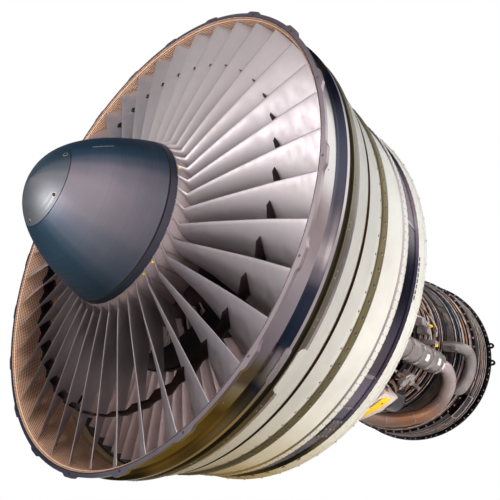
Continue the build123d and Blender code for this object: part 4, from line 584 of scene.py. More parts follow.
BLUE_TUBE = metal("blue_tube", (0.11, 0.18, 0.29), (0.10, 0.10, 0.13), 0.25, patches=12)
SILVER = metal("silver_pipe", (0.80, 0.74, 0.73), (0.54, 0.49, 0.49), 0.26, 0.66, patches=9, grime=0.2)
SHAFT_STEEL = metal("shaft_steel", (0.42, 0.41, 0.42), (0.34, 0.33, 0.34), 0.28)
CASTING = metal("pale_casting", (0.9, 0.79, 0.75), (0.72, 0.61, 0.58), 0.42, 0.35, 90, patches=14, grime=0.22)
DARK_GLOSS = metal("dark_gloss", (0.015, 0.015, 0.018), (0.022, 0.02, 0.022), 0.14, 0.3, patches=8, coat=0.8)
SLEEVE = metal("grey_sleeve", (0.50, 0.455, 0.44), (0.38, 0.345, 0.34), 0.32, 0.78, 20, 0.04, patches=7)
CLAMP = metal("clamp_steel", (0.58, 0.54, 0.52), (0.38, 0.35, 0.34), 0.28, 0.8, patches=14)
DARK_STEEL = metal("dark_steel", (0.07, 0.065, 0.065), (0.04, 0.04, 0.045), 0.35, patches=16)
YELLOW = metal("yellow_paint", (0.95, 0.62, 0.03), (0.90, 0.56, 0.03), 0.42, 0.0, 10, 0.0, grime=0.12)
LABEL = metal("blank_label", (0.78, 0.77, 0.74), (0.70, 0.68, 0.65), 0.55, 0.0, line_depth=0.0)
PANEL = metal("sheet_panel", (0.40, 0.36, 0.35), (0.30, 0.27, 0.27), 0.24, patches=9)
print("materials with the core", len(bpy.data.materials))

# %% [markdown]
# ## Turned skins
# The case is a stack of rings that were turned on a big lathe. Bevelled cylinders would give plain bands,
# but not the channels and ridges. So each ring is an outline of (station, radius) points in millimetres,
# swept round the axis in fine steps. Corners are rounded first, because a real edge is never quite sharp
# and the small round is what catches the light.

# %% Outline helpers
MM = 0.001
RING_STEPS = 288
EDGE_ROUND = 1.6
LEAST_CORNER = math.radians(12)
LEAST_REACH = 0.2


def rounded(outline, radius):
    """Cuts each corner of a closed outline back and rounds it with one middle point."""
    result = []
    count = len(outline)
    for i, corner in enumerate(outline):
        here = Vector(corner)
        before = Vector(outline[i - 1]) - here
        after = Vector(outline[(i + 1) % count]) - here
        reach = min(radius, before.length * 0.4, after.length * 0.4)
        turning = math.pi - before.angle(after) if before.length and after.length else 0
        if turning < LEAST_CORNER or reach < LEAST_REACH:
            result.append(tuple(here))
            continue
        start = here + before.normalized() * reach
        end = here + after.normalized() * reach
        middle = (start + end + here * 2) / 4
        result += [tuple(start), tuple(middle), tuple(end)]
    return result


def box_outline(first, last, inner, outer):
    """Outline of a plain band between two stations and two radii."""
    return [(first, inner), (first, outer), (last, outer), (last, inner)]


def wall(line, thickness):
    """Closed outline of a wall under a line of points."""
    return list(line) + [(x, r - thickness) for x, r in reversed(line)]


def radius_on(line, station):
    """Radius of a line of points at a station."""
    for (x0, r0), (x1, r1) in zip(line, line[1:]):
        if x0 <= station <= x1:
            return r0 + (r1 - r0) * (station - x0) / (x1 - x0)
    return line[-1][1] if station > line[-1][0] else line[0][1]


def circle(size, sides):
    """Points (a, b) round a circle about the origin."""
    turns = [2 * math.pi * i / sides for i in range(sides)]
    return [(size * math.cos(t), size * math.sin(t)) for t in turns]


print("outline of a small band, rounded:", len(rounded(box_outline(0, 9, 0, 9), EDGE_ROUND)), "points")


# %% Mesh helpers
SAME_PLACE = 1e-6


def clean(shape, name):
    """Merges a shape's doubles, turns its faces outwards and returns it as a mesh."""
    bmesh.ops.remove_doubles(shape, verts=shape.verts, dist=SAME_PLACE)
    bmesh.ops.recalc_face_normals(shape, faces=shape.faces)
    mesh = bpy.data.meshes.new(name)
    shape.to_mesh(mesh)
    shape.free()
    return mesh


def lofted(loops, closed=False):
    """A skin through loops of points in metres, capped at both ends unless it closes on itself."""
    rows, count = len(loops), len(loops[0])
    faces = []
    for k in range(rows if closed else rows - 1):
        ahead = (k + 1) % rows
        for i in range(count):
            j = (i + 1) % count
            faces.append((k * count + i, k * count + j, ahead * count + j, ahead * count + i))
    if not closed:
        faces += [tuple(range(count)), tuple(range((rows - 1) * count, rows * count))]
    mesh = bpy.data.meshes.new("loops")
    mesh.from_pydata([point for loop in loops for point in loop], [], faces)
    shape = bmesh.new()
    shape.from_mesh(mesh)
    bpy.data.meshes.remove(mesh)
    return clean(shape, "lofted")


def turned_mesh(outline, steps=RING_STEPS, start=0.0, arc=360.0):
    """Sweeps a closed (station, radius) outline in millimetres round the axis."""
    whole = arc >= 360.0
    rows = steps if whole else max(2, int(steps * arc / 360)) + 1
    loops = []
    for k in range(rows):
        angle = math.radians(start + arc * k / (rows if whole else rows - 1))
        loops.append([(x * MM, r * MM * math.cos(angle), r * MM * math.sin(angle)) for x, r in outline])
    return lofted(loops, closed=whole)


def joined(meshes):
    """One mesh from several."""
    shape = bmesh.new()
    for mesh in meshes:
        shape.from_mesh(mesh)
    result = bpy.data.meshes.new("joined")
    shape.to_mesh(result)
    shape.free()
    return result


print("a turned band has", len(turned_mesh(box_outline(0, 9, 500, 509)).polygons), "faces")


# %% Piece helpers
CREASE = math.radians(28)


def link(name, mesh, material):
    """Puts a finished mesh in the scene as a piece at the origin, smooth but for its creases."""
    mesh.name = name
    if material is not None:
        mesh.materials.clear()
        mesh.materials.append(material)
    mesh.shade_smooth()
    mesh.set_sharp_from_angle(angle=CREASE)
    piece = bpy.data.objects.new(name, mesh)
    bpy.context.scene.collection.objects.link(piece)
    return piece


def settled(piece, body, stands_for=()):
    """Hangs a piece on the empty of the body it rides on, and hides the CAD nodes it stands for."""
    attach(piece, body)
    if stands_for:
        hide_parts(*stands_for)
    print(f"{piece.name}: {len(piece.data.polygons)} faces, rides on {body}")
    return piece


def ring(name, outline, material, slot, body="casing", stands_for=(), edge=EDGE_ROUND, bands=(), **sweep):
    """A finished ring; bands are (first, last station in mm, finish) painted over parts of it."""
    piece = link(name, turned_mesh(rounded(outline, edge), **sweep), material)
    for first, last, finish in bands:
        piece.data.materials.append(finish)
        for face in piece.data.polygons:
            if first * MM < face.center.x < last * MM:
                face.material_index = len(piece.data.materials) - 1
    return settled(piece, body, stands_for)


def group_of(name, meshes, material, slot, body="casing", stands_for=()):
    """One finished piece from several small meshes."""
    return settled(link(name, joined(meshes), material), body, stands_for)


print("creases over", round(math.degrees(CREASE)), "degrees stay sharp")

# %% [markdown]
# ## Repeats round the axis
# Blades, vanes, rivets and bolts all repeat round the axis. A loop could copy each of them, but one
# Geometry Nodes tree does it for every row: it copies the mesh it is given to points on the axis and turns
# each copy a step further. The result is turned into a plain mesh, because instances are lost when the
# model is exported.

# %% Row tree
ROW_INPUTS = {"Geometry": "Geometry", "Count": "Int", "First turn": "Float", "Step": "Float"}
ROW_INPUTS["Finish"] = "Material"
row_tree = bpy.data.node_groups.new("row_round_the_axis", "GeometryNodeTree")
for label, kind in ROW_INPUTS.items():
    row_tree.interface.new_socket(label, in_out="INPUT", socket_type=f"NodeSocket{kind}")
row_tree.interface.new_socket("Geometry", in_out="OUTPUT", socket_type="NodeSocketGeometry")
given = row_tree.nodes.new("NodeGroupInput").outputs
index = row_tree.nodes.new("GeometryNodeInputIndex").outputs[0]
turned_by = maths(row_tree, "MULTIPLY_ADD", index, given["Step"], given["First turn"])
rotation = make_node(row_tree, "ShaderNodeCombineXYZ", turned_by)
points = make_node(row_tree, "GeometryNodeMeshLine", Count=given["Count"], Offset=(0, 0, 0))
copies = make_node(
    row_tree,
    "GeometryNodeInstanceOnPoints",
    Points=points.outputs[0],
    Instance=given["Geometry"],
    Rotation=rotation.outputs[0],
)
realize = make_node(row_tree, "GeometryNodeRealizeInstances", copies.outputs[0])
finished = make_node(
    row_tree, "GeometryNodeSetMaterial", Geometry=realize.outputs[0], Material=given["Finish"]
)
make_node(row_tree, "NodeGroupOutput", finished.outputs[0])
SOCKETS = {s.name: s.identifier for s in row_tree.interface.items_tree if s.in_out == "INPUT"}


def row(name, mesh, count, material, body="casing", stands_for=(), first=0.0, step=None):
    """A row of copies of a mesh round the axis; angles in degrees."""
    source = bpy.data.objects.new(name + "_source", mesh)
    bpy.context.scene.collection.objects.link(source)
    modifier = source.modifiers.new("row", "NODES")
    modifier.node_group = row_tree
    modifier[SOCKETS["Count"]] = count
    modifier[SOCKETS["First turn"]] = math.radians(first)
    modifier[SOCKETS["Step"]] = math.radians(360 / count if step is None else step)
    modifier[SOCKETS["Finish"]] = material
    bpy.context.view_layer.update()
    evaluated = source.evaluated_get(bpy.context.evaluated_depsgraph_get())
    baked = bpy.data.meshes.new_from_object(evaluated)
    bpy.data.objects.remove(source)
    return settled(link(name, baked, None), body, stands_for)


print("row tree", len(row_tree.nodes), "nodes")

# %% [markdown]
# ## Small parts
# Rivets, bolts, screws, blocks and tubes could each be modelled where they sit. They are drawn once instead,
# standing on the +Y side of the axis, and then turned to their place or repeated in a row.


# %% Small part helpers
def at_angle(mesh, degrees):
    """A copy of a mesh turned round the axis."""
    copy = mesh.copy()
    copy.transform(Matrix.Rotation(math.radians(degrees), 4, "X"))
    return copy


def stud(station, radius, steps, sides=12, outward=True):
    """A small turned or hexagonal part from (height, radius) steps; it stands outwards or along -X."""
    loops = []
    for height, size in steps:
        if outward:
            loop = [(station + a, radius + height, b) for a, b in circle(size, sides)]
        else:
            loop = [(station - height, radius + a, b) for a, b in circle(size, sides)]
        loops.append([[v * MM for v in place] for place in loop])
    return lofted(loops)


def rivet(station, radius, size):
    """A low dome."""
    steps = [(-0.5, size), (0.25 * size, size * 0.96), (0.5 * size, size * 0.7), (0.62 * size, size * 0.3)]
    return stud(station, radius, steps, 10)


def hex_bolt(station, radius, size, outward=True):
    """A hexagonal head on a washer."""
    washer = stud(station, radius, [(-0.5, size * 1.35), (size * 0.2, size * 1.35)], 14, outward)
    head = [(size * 0.2, size), (size * 0.75, size), (size * 0.9, size * 0.8)]
    return joined([washer, stud(station, radius, head, 6, outward)])


def block(stations, radii, half_width, bevel=1.0):
    """A bevelled block between two stations and two radii."""
    shape = bmesh.new()
    bmesh.ops.create_cube(shape, size=1.0)
    size = (stations[1] - stations[0], radii[1] - radii[0], 2 * half_width)
    centre = ((stations[0] + stations[1]) / 2, (radii[0] + radii[1]) / 2, 0)
    for vert in shape.verts:
        vert.co = [(c + v * s) * MM for c, v, s in zip(centre, vert.co, size)]
    bmesh.ops.bevel(shape, geom=shape.edges[:], offset=bevel * MM, segments=2, affect="EDGES")
    return clean(shape, "block")


print("a bolt has", len(hex_bolt(0, 100, 4).polygons), "faces")


# %% Curve and tube helpers
def curve_points(places, steps=6):
    """A smooth curve through (station, radius, angle) places, as points in metres."""
    knots = [
        Vector((x, r * math.cos(math.radians(a)), r * math.sin(math.radians(a)))) * MM for x, r, a in places
    ]
    knots = [knots[0] * 2 - knots[1]] + knots + [knots[-1] * 2 - knots[-2]]
    points = []
    for i in range(1, len(knots) - 2):
        a, b, c, d = knots[i - 1 : i + 3]
        for k in range(steps):
            t = k / steps
            spot = b * 2 + (c - a) * t
            spot += (a * 2 - b * 5 + c * 4 - d) * t * t
            spot += (b * 3 - a - c * 3 + d) * t**3
            points.append(spot / 2)
    return points + [knots[-2]]


def tube(points, radius, sides=10):
    """A round tube of a radius in millimetres along points in metres."""
    loops = []
    side = None
    for i, point in enumerate(points):
        ahead = (points[min(i + 1, len(points) - 1)] - points[max(i - 1, 0)]).normalized()
        if side is None:
            side = ahead.orthogonal().normalized()
        side = (side - ahead * side.dot(ahead)).normalized()
        other = ahead.cross(side)
        loops.append([point + (side * a + other * b) * radius * MM for a, b in circle(1, sides)])
    return lofted(loops)


def collars(line, steps, radius, sides):
    """Short rings round a duct, at some of the steps of its line."""
    return [tube([line[s], line[s] * 0.8 + line[s + 1] * 0.2], radius, sides) for s in steps]


def hoop(station, radius, thick, **sweep):
    """A round tube bent into a hoop about the axis."""
    return turned_mesh([(station + a, radius + b) for a, b in circle(thick, 10)], **sweep)


print("a hoop has", len(hoop(0, 500, 4).polygons), "faces")

# %% [markdown]
# ## Fan blades
# A blade is a twisted, cambered sheet: near the hub it stands almost along the axis, and at the tip it
# lies nearly across the air. A bent and twisted plate would keep one thickness. So five sections describe
# it, and the mesh runs smoothly through them. The wing-shaped snubber part way out braces each blade
# against its neighbours.

# %% Blade sections
BLADE_COUNT = 40
BLADE_MID_X = 77.0
TIP_R = 1194.0
# Radius, chord, stagger in degrees, thickness, camber
BLADE_SECTIONS = [
    (446.0, 190.0, 13.0, 19.0, 19.0),
    (650.0, 197.0, 27.0, 14.0, 16.0),
    (830.0, 206.0, 40.0, 10.5, 11.0),
    (1010.0, 222.0, 51.0, 7.5, 7.0),
    (1200.0, 236.0, 60.0, 5.0, 4.0),
]
EDGE_HALF = 0.8
FRONT_CROWDING = 1.4
FULLNESS = 1.3


def between_sections(radius):
    """The blade's section values at a radius, on a smooth curve through the five stations."""
    stations = [s[0] for s in BLADE_SECTIONS]
    last = len(stations) - 1
    i = max(0, min(last - 1, sum(1 for s in stations[1:-1] if radius > s)))
    t = (radius - stations[i]) / (stations[i + 1] - stations[i])
    values = []
    for k in range(1, 5):
        p = [BLADE_SECTIONS[max(0, min(last, i + j))][k] for j in (-1, 0, 1, 2)]
        slope_a = (p[2] - p[0]) / 2 if i > 0 else p[2] - p[1]
        slope_b = (p[3] - p[1]) / 2 if i < last - 1 else p[2] - p[1]
        values.append(
            p[1] * (2 * t**3 - 3 * t**2 + 1)
            + p[2] * (3 * t**2 - 2 * t**3)
            + slope_a * (t**3 - 2 * t**2 + t)
            + slope_b * (t**3 - t**2)
        )
    return values


def section_loop(chord, stagger, thick, camber, steps):
    """Points of one aerofoil section as (station offset, offset round the axis)."""
    angle = math.radians(stagger)
    ahead, behind = [], []
    for i in range(steps + 1):
        u = (i / steps) ** FRONT_CROWDING
        half = thick * FULLNESS * math.sqrt(u) * (1 - u) + EDGE_HALF * u
        bend = -4 * camber * u * (1 - u)
        along = (u - 0.5) * chord
        for side, points in ((half, ahead), (-half, behind)):
            across = bend + side
            x = along * math.cos(angle) + across * math.sin(angle)
            y = across * math.cos(angle) - along * math.sin(angle)
            points.append((x, -y))
    return ahead + list(reversed(behind[1:]))


print("section at 700 mm", [round(value, 1) for value in between_sections(700)])

# %% Fan blade
SPAN_STEPS = 30
CHORD_STEPS = 14
ROOT_SWEEP = 34.0
ROOT_SWEEP_SPAN = 40.0
ROOT_STEPS = 5
ROOT_SLANT = 0.8
EDGE_R = 1.1
EDGE_STOPS_SHORT = 2.5


def blade_loops():
    """Loops up the span, from inside the platform to the tip's true circle; the root sweeps forwards."""
    loops = []
    root = BLADE_SECTIONS[0][0]
    corner = root + ROOT_SWEEP_SPAN
    radii = [root + ROOT_SWEEP_SPAN * k / ROOT_STEPS for k in range(ROOT_STEPS)]
    radii += [corner + (TIP_R - corner) * k / SPAN_STEPS for k in range(SPAN_STEPS + 1)]
    for radius in radii:
        chord, stagger, thick, camber = between_sections(radius)
        sweep = ROOT_SWEEP * max(0.0, 1 - (radius - root) / ROOT_SWEEP_SPAN)
        lean = math.radians(stagger)
        loop = []
        for x, z in section_loop(chord + sweep, stagger, thick, camber, CHORD_STEPS):
            x -= sweep / 2 * math.cos(lean)
            z -= sweep / 2 * math.sin(lean)
            z -= ROOT_SLANT * sweep * (0.5 - x / chord)
            y = math.sqrt(radius**2 - z**2) if radius == radii[-1] else radius
            y = min(y, math.sqrt(TIP_R**2 - z**2))
            loop.append(Vector(((BLADE_MID_X + x) * MM, y * MM, z * MM)))
        loops.append(loop)
    return loops


loops = blade_loops()
leading_edge = [loop[0] for loop in loops]
leading_edge[-1] = leading_edge[-1] - Vector((0, EDGE_STOPS_SHORT * MM, 0))
row("fan_blade_row", lofted(loops), BLADE_COUNT, TITANIUM, "lp_spool", ["fan_blades"])

# %% Platforms, snubbers and bright edges
PLATFORM_GAP_TURN = 0.25
SNUBBER_R = 960.0
SNUBBER_THICK = 14.0
SNUBBER_CHORD = 48.0
SNUBBER_ROOT = 50.0
SNUBBER_GAP = 0.15
SNUBBER_TAPER = 0.85
SNUBBER_THINNING = 0.35
SNUBBER_SHARES = (-1.0, -0.7, -0.45, -0.25, -0.1, 0.0, 0.1, 0.25, 0.45, 0.7, 1.0)


def snubber_mesh():
    """A thin wing across the blade, thickest in the middle and sharp along both edges."""
    reach = (SNUBBER_R - SNUBBER_THICK / 2) * math.tan(math.pi / BLADE_COUNT) - SNUBBER_GAP
    loops = []
    for share in SNUBBER_SHARES:
        half_chord = SNUBBER_ROOT + (SNUBBER_CHORD / 2 - SNUBBER_ROOT) * abs(share) ** SNUBBER_TAPER
        half_thick = SNUBBER_THICK / 2 * (1 - SNUBBER_THINNING * abs(share))
        loop = []
        for a, b in circle(1, 12):
            x = BLADE_MID_X + half_chord * a
            y = SNUBBER_R + half_thick * b
            loop.append((x * MM, y * MM, share * reach * MM))
        loops.append(loop)
    return lofted(loops)


platform_outline = [(-45.0, 452.0), (175.0, 505.0), (175.0, 438.0), (-45.0, 438.0)]
platform_arc = 360 / BLADE_COUNT - PLATFORM_GAP_TURN
platform_mesh = turned_mesh(
    rounded(platform_outline, 1.2), steps=480, start=-platform_arc / 2, arc=platform_arc
)
row("fan_platform_row", platform_mesh, BLADE_COUNT, PLATFORM, "lp_spool")
row("snubber_row", snubber_mesh(), BLADE_COUNT, SNUBBER, "lp_spool")
row("blade_edge_row", tube(leading_edge, EDGE_R, 6), BLADE_COUNT, BLADE_EDGE, "lp_spool")

# %% [markdown]
# ## Spinner
# The spinner is a smooth rounded cone in two pieces: a cap and a cone that meet at a thin seam. A scaled
# sphere has the wrong nose. A painted skin this smooth also shows every facet, so it is swept from a curve
# in many fine steps.

# %% Spinner curve and cap
SPINNER_TIP_X = -535.0
SPINNER_BASE = (-47.0, 451.0)
CAP_SEAM_X = -458.0
SPINNER_WALL = 7.0
SPINNER_POWERS = (1.11, 0.451)


def spinner_radius(station):
    """Radius of the spinner's skin at a station."""
    share = (station - SPINNER_TIP_X) / (SPINNER_BASE[0] - SPINNER_TIP_X)
    return SPINNER_BASE[1] * (1 - (1 - share) ** SPINNER_POWERS[0]) ** SPINNER_POWERS[1]


def spinner_line(first, last, steps):
    """Points on the spinner's skin, closer together towards its tip."""
    shares = [(i / steps) ** 2 for i in range(steps + 1)]
    return [(first + (last - first) * s, spinner_radius(first + (last - first) * s)) for s in shares]


cap_line = spinner_line(SPINNER_TIP_X, CAP_SEAM_X, 24)
cap_outline = cap_line + [(x + SPINNER_WALL, max(0.0, r - SPINNER_WALL)) for x, r in reversed(cap_line[:-1])]
seam_r = spinner_radius(CAP_SEAM_X)
seam_steps = ((-1.0, -3), (1.0, 0.1), (3.2, -3))
seam_outline = [(CAP_SEAM_X + x, seam_r + r) for x, r in seam_steps]
ring("spinner_seam", seam_outline, DARK_DOT, "spinner_skin", "lp_spool", edge=0.0)
ring("spinner_cap_skin", cap_outline, CAP_COAT, "spinner_skin", "lp_spool", ["spinner_cap"], edge=0.0)

# %% Spinner cone with its groove
GROOVE_X = -82.0
GROOVE_WIDE = 3.2
GROOVE_DEEP = 4
groove_start, groove_end = GROOVE_X - GROOVE_WIDE, GROOVE_X + GROOVE_WIDE
cone_line = spinner_line(CAP_SEAM_X + 2.6, SPINNER_BASE[0], 40)
groove_r = spinner_radius(GROOVE_X)
groove_cut = [(groove_start, groove_r - 0.6), (GROOVE_X - 1, groove_r - GROOVE_DEEP)]
groove_cut += [(GROOVE_X + 1, groove_r - GROOVE_DEEP), (groove_end, spinner_radius(groove_end))]
before = [p for p in cone_line if p[0] < groove_start - 1]
after = [p for p in cone_line if p[0] > groove_end + 1]
cone_outline = before + groove_cut + after + [(x, r - SPINNER_WALL) for x, r in reversed(cone_line)]
cone_bands = [(groove_start - 1, groove_end, DARK_DOT), (groove_end, 0, SPINNER_BAND)]
ring(
    "spinner_cone_skin",
    cone_outline,
    SPINNER_COAT,
    "spinner_skin",
    "lp_spool",
    ["spinner_cone"],
    edge=0.0,
    bands=cone_bands,
)

# %% Spinner screws
CAP_SCREW_ANGLES = [155.8, 223.0, 290.6, 5.0, 80.0]
CAP_SCREW_X = -472.0
RIM_STEPS = [(-1.5, 12.0), (0.6, 12.0), (1.2, 11.0), (1.2, 9.8), (-0.3, 9.4), (-0.5, 0.2)]
HEAD_STEPS = [(-0.7, 9.0), (0.4, 9.0), (0.7, 7.0), (0.1, 2.6)]


def leaned(mesh, station, radius, degrees):
    """Leans a small part forwards about its own foot, so that it stands square on a sloping skin."""
    foot = Vector((station, radius, 0)) * MM
    lean = Matrix.Rotation(math.radians(degrees), 4, "Z")
    mesh.transform(Matrix.Translation(foot) @ lean @ Matrix.Translation(-foot))
    return mesh


screw_r = spinner_radius(CAP_SCREW_X)
rise = spinner_radius(CAP_SCREW_X + 5) - spinner_radius(CAP_SCREW_X - 5)
slope = math.degrees(math.atan2(rise, 10))
SCREW_PARTS = (("cap_screw_rims", RIM_STEPS, 18, CLAMP), ("cap_screw_heads", HEAD_STEPS, 12, DARK_DOT))
for name, steps, sides, finish in SCREW_PARTS:
    screw = leaned(stud(CAP_SCREW_X, screw_r, steps, sides), CAP_SCREW_X, screw_r, slope)
    group_of(name, [at_angle(screw, a) for a in CAP_SCREW_ANGLES], finish, "spinner_skin", "lp_spool")
slot_line = curve_points([(x, spinner_radius(x) + 0.3, 151.3) for x in (-386, -346, -306)], 3)
group_of("spinner_slot", [tube(slot_line, 1.3, 6)], RIVET, "spinner_skin", "lp_spool")
marks = [at_angle(block((-40, -24), (451, 456), 5, 1), a) for a in (166.5, 229.5, 238.5)]
group_of("yellow_marks", marks, YELLOW, "spinner_skin", "lp_spool")

# %% [markdown]
# ## Fan case
# From the front: the inlet flange with its bolt lugs, a polished barrel, a raised ridge, a dark channel
# with pairs of rivets, a bright rail, cream bands, an olive strip with round rivets, and a polished band
# whose dark navy is a painted reflection. One long outline could carry them all. Each case has its own
# instead, because they are separate forgings and a joint shows between them.

# %% Inlet flange
FLANGE_THICK = 16.0
BARREL_R = 1208.0
FLANGE_R = 1228.0
LUG_R = 1238.4
LUG_HALF = 36.0
LUG_SLOPE = 22.0
LUG_CORNER = 8.0
FLANGE_HOLES = 20
HOLE_R = 5.5
HOLE_CIRCLE_R = 1222.0
HOLE_SIDES = 16
LUG_PHASE = 10.9


def on_arc(radius, first, last, steps):
    """Points (across, outwards) on an arc between two angles in degrees off the +Y direction."""
    turns = [math.radians(first + (last - first) * i / steps) for i in range(steps + 1)]
    return [(radius * math.sin(t), radius * math.cos(t)) for t in turns]


def flange_pitch():
    """One pitch of the flange with its lug and a true bolt hole."""
    half = 180 / FLANGE_HOLES
    lug_turn = math.degrees(math.asin((LUG_HALF + LUG_SLOPE) / FLANGE_R))
    loop = on_arc(BARREL_R - 1, -half, half, 14)
    loop += list(reversed(on_arc(FLANGE_R, lug_turn, half, 5)))
    corner = LUG_CORNER
    loop += [(LUG_HALF + corner, LUG_R - corner * 0.5), (LUG_HALF + corner * 0.2, LUG_R - corner * 0.1)]
    loop += [(LUG_HALF - corner, LUG_R), (-LUG_HALF + corner, LUG_R)]
    loop += [(-LUG_HALF - corner * 0.2, LUG_R - corner * 0.1), (-LUG_HALF - corner, LUG_R - corner * 0.5)]
    loop += list(reversed(on_arc(FLANGE_R, -half, -lug_turn, 5)))
    hole = [(b, HOLE_CIRCLE_R + a) for a, b in circle(HOLE_R, HOLE_SIDES)]
    shape = bmesh.new()
    for points in (loop, hole):
        verts = [shape.verts.new((0, y * MM, z * MM)) for z, y in points]
        for i, vert in enumerate(verts):
            shape.edges.new((vert, verts[(i + 1) % len(verts)]))
    bmesh.ops.triangle_fill(shape, use_beauty=True, use_dissolve=False, edges=shape.edges[:])
    grown = bmesh.ops.extrude_face_region(shape, geom=shape.faces[:])["geom"]
    for vert in grown:
        if isinstance(vert, bmesh.types.BMVert):
            vert.co.x = FLANGE_THICK * MM
    return clean(shape, "flange_pitch")


row("inlet_flange_ring", flange_pitch(), FLANGE_HOLES, LUG_METAL, first=LUG_PHASE)

# %% Fan case rings
LINER_R = 1198.0
BEVEL = 14.0
FRONT_BORE_R = 1201.3
front_outline = [
    (0, FRONT_BORE_R + BEVEL - 3), (0, BARREL_R - 1.2), (FLANGE_THICK, BARREL_R - 1.2),
    (FLANGE_THICK + 1, BARREL_R), (92, BARREL_R), (104, BARREL_R - 1), (114, BARREL_R - 1.4),
    (124, BARREL_R - 0.4), (132, BARREL_R + 4), (138, BARREL_R + 11), (143, BARREL_R + 19), (147, 1230),
    (166, 1230), (169, 1222), (172, 1214), (200, 1214), (200, 1228), (212, 1228), (212, FRONT_BORE_R),
    (BEVEL, FRONT_BORE_R),
]
liner_outline = [
    (1, FRONT_BORE_R + BEVEL - 4.3), (BEVEL, FRONT_BORE_R - 0.3), (330, FRONT_BORE_R - 0.3),
    (330, LINER_R), (BEVEL, LINER_R), (1, LINER_R + BEVEL - 5),
]
containment_outline = [
    (212, 1228), (230, 1228), (236, 1226), (241, 1219), (262, 1216.2), (300, 1211), (346, 1204.5),
    (358, 1200), (361, 1190.5), (370, 1191), (373, 1199), (376, 1199), (526, 1172), (526, 1184),
    (538, 1184), (538, 1157), (334, 1184), (330, 1201.3), (212, 1201.3),
]
exit_outline = [
    (538, 1184), (550, 1184), (552, 1171), (566, 1170), (569, 1166), (727, 1168), (731, 1176),
    (770, 1176), (770, 1150), (600, 1150), (538, 1157),
]
rear_outline = [
    (770, 1172), (777, 1171.3), (880, 1159.4), (884, 1160), (890, 1170), (936, 1175), (940, 1182),
    (952, 1182), (952, 1166), (900, 1160), (880, 1150), (770, 1150),
]
FRONT_BANDS = [(-1, 15, LIP_METAL), (99, 153, BARREL_BACK), (153, 167, LIP_METAL)]
FRONT_BANDS += [(167, 201, CHANNEL), (201, 213, RAIL)]
CREAM_BANDS = [(211, 232, RAIL), (232, 262, PALE), (346, 359, GROOVE_EDGE), (359, 374.5, GROOVE)]
EXIT_BANDS = [(726, 731.5, LIP_METAL)]
REAR_BANDS = [(771, 778.5, LIP_METAL), (778.5, 897, POLISHED_REAR_BAND)]
CREAM_CASES = [
    ("containment_skin", containment_outline, "containment_case", CREAM_BANDS),
    ("exit_case_skin", exit_outline, "fan_exit_case", EXIT_BANDS),
    ("rear_case_skin", rear_outline, "fan_case_rear", REAR_BANDS),
]
front = ["fan_case_front"]
ring("front_case_skin", front_outline, BARREL, "barrel_alloy", stands_for=front, bands=FRONT_BANDS)
ring("liner_skin", liner_outline, LINER, "liner_abradable", stands_for=["fan_liner"], edge=0.8)
for name, outline, case, bands in CREAM_CASES:
    ring(name, outline, CREAM, "case_alloy", stands_for=[case], bands=bands)
strip_outline = [(515, 1176), (518, 1185), (556, 1185), (559, 1172), (552, 1183), (522, 1183)]
ring("joint_cover_strip", strip_outline, OLIVE, "case_alloy", edge=1.0)

# %% [markdown]
# ### Rivets, holes and bolts on the fan case
# Rows of small round fasteners hold the bands together. A picture of dots would do from far away. But close
# to, each rivet has its own highlight, so they are true domes, set in rows by the tree above.

# %% Fan case fasteners
STRIP_R = 1184.8
STRIP_RIVETS = 104
DOTS = 88
pair = joined([rivet(214, 1228, 4.0), at_angle(rivet(214, 1228, 4.0), 1.3)])
# Painted shadow: a dark disc just ahead of each strip rivet stands for its shadow
strip_rivet_shadow = stud(533, STRIP_R, [(-0.5, 6.5), (0.5, 6.5), (0.6, 5.5)], 12)
cream_dot = stud(500, 1176.5, [(-0.5, 4.6), (0.7, 4.6), (1.0, 3.4)], 10)
small = joined([rivet(737, 1176, 2.8), rivet(764, 1176, 2.8)])
# Painted shade: the slots are raised blocks, dark for the shade inside a slot
slot_block = block((896, 905), (1169.5, 1172.6), 10.0, 0.8)
# Name, mesh, count, finish, first angle, and the step in degrees if the row doesn't go all round
FASTENERS = [
    ("channel_rivets", pair, 40, RIVET, 1.0, None),
    ("strip_rivets", rivet(538, STRIP_R, 4.4), STRIP_RIVETS, RIVET, 188.8, None),
    ("strip_rivet_shadows", strip_rivet_shadow, STRIP_RIVETS, DARK_DOT, 188.6, None),
    ("cream_dots", cream_dot, DOTS, DARK_DOT, 191.5, None),
    ("cream_dot_rims", rivet(505, 1175.7, 3.0), DOTS, RIVET, 191.3, None),
    ("small_rivets", small, 180, GROOVE, 185.9, None),
    ("edge_rivets", rivet(891, 1170.3, 2.6), 160, GROOVE, 186.0, None),
    ("dark_slots", slot_block, 8, DARK_DOT, 193.5, 1.35),
    ("dark_slots_below", slot_block, 6, DARK_DOT, 252.0, 5.0),
    ("rear_rivets", rivet(922, 1173.6, 3.0), 90, RIVET, 193.0, None),
    ("joint_bolts", hex_bolt(946, 1182, 4.0), 60, RIVET, 2.0, None),
]
for name, mesh, count, finish, first, step in FASTENERS:
    row(name, mesh, count, finish, first=first, step=step)
row("flange_rivets", rivet(60, 1207.6, 3.2), 8, RIVET, first=12.0)

# %% [markdown]
# ### Pads, straps and panel screws
# Raised pads with cut corners sit on the ridge and the rail, and narrow straps cross the polished band.
# A block would stand off a curved case, so each pad is a short arc of a ring with its corners drawn in.

# %% Pads, straps and panel screws
PAD_STEPS = 720
STRAP_ARC = 0.9
STRAP_ANGLES = [185.8, 223.1, 231.9, 270.0, 315.0, 0.0, 45.0, 90.0, 140.0]
# The sloping skins that the screws stand on: first station, radius there, fall per millimetre
PANEL_START, PANEL_R, PANEL_SLOPE = 786, 1178.4, 0.1161
STRAP_START, STRAP_R, STRAP_SLOPE = 776, 1172.6, 0.111
STRAP_OUTLINE = [(776, 1170), (776, 1173.4), (882, 1161.6), (882, 1158)]


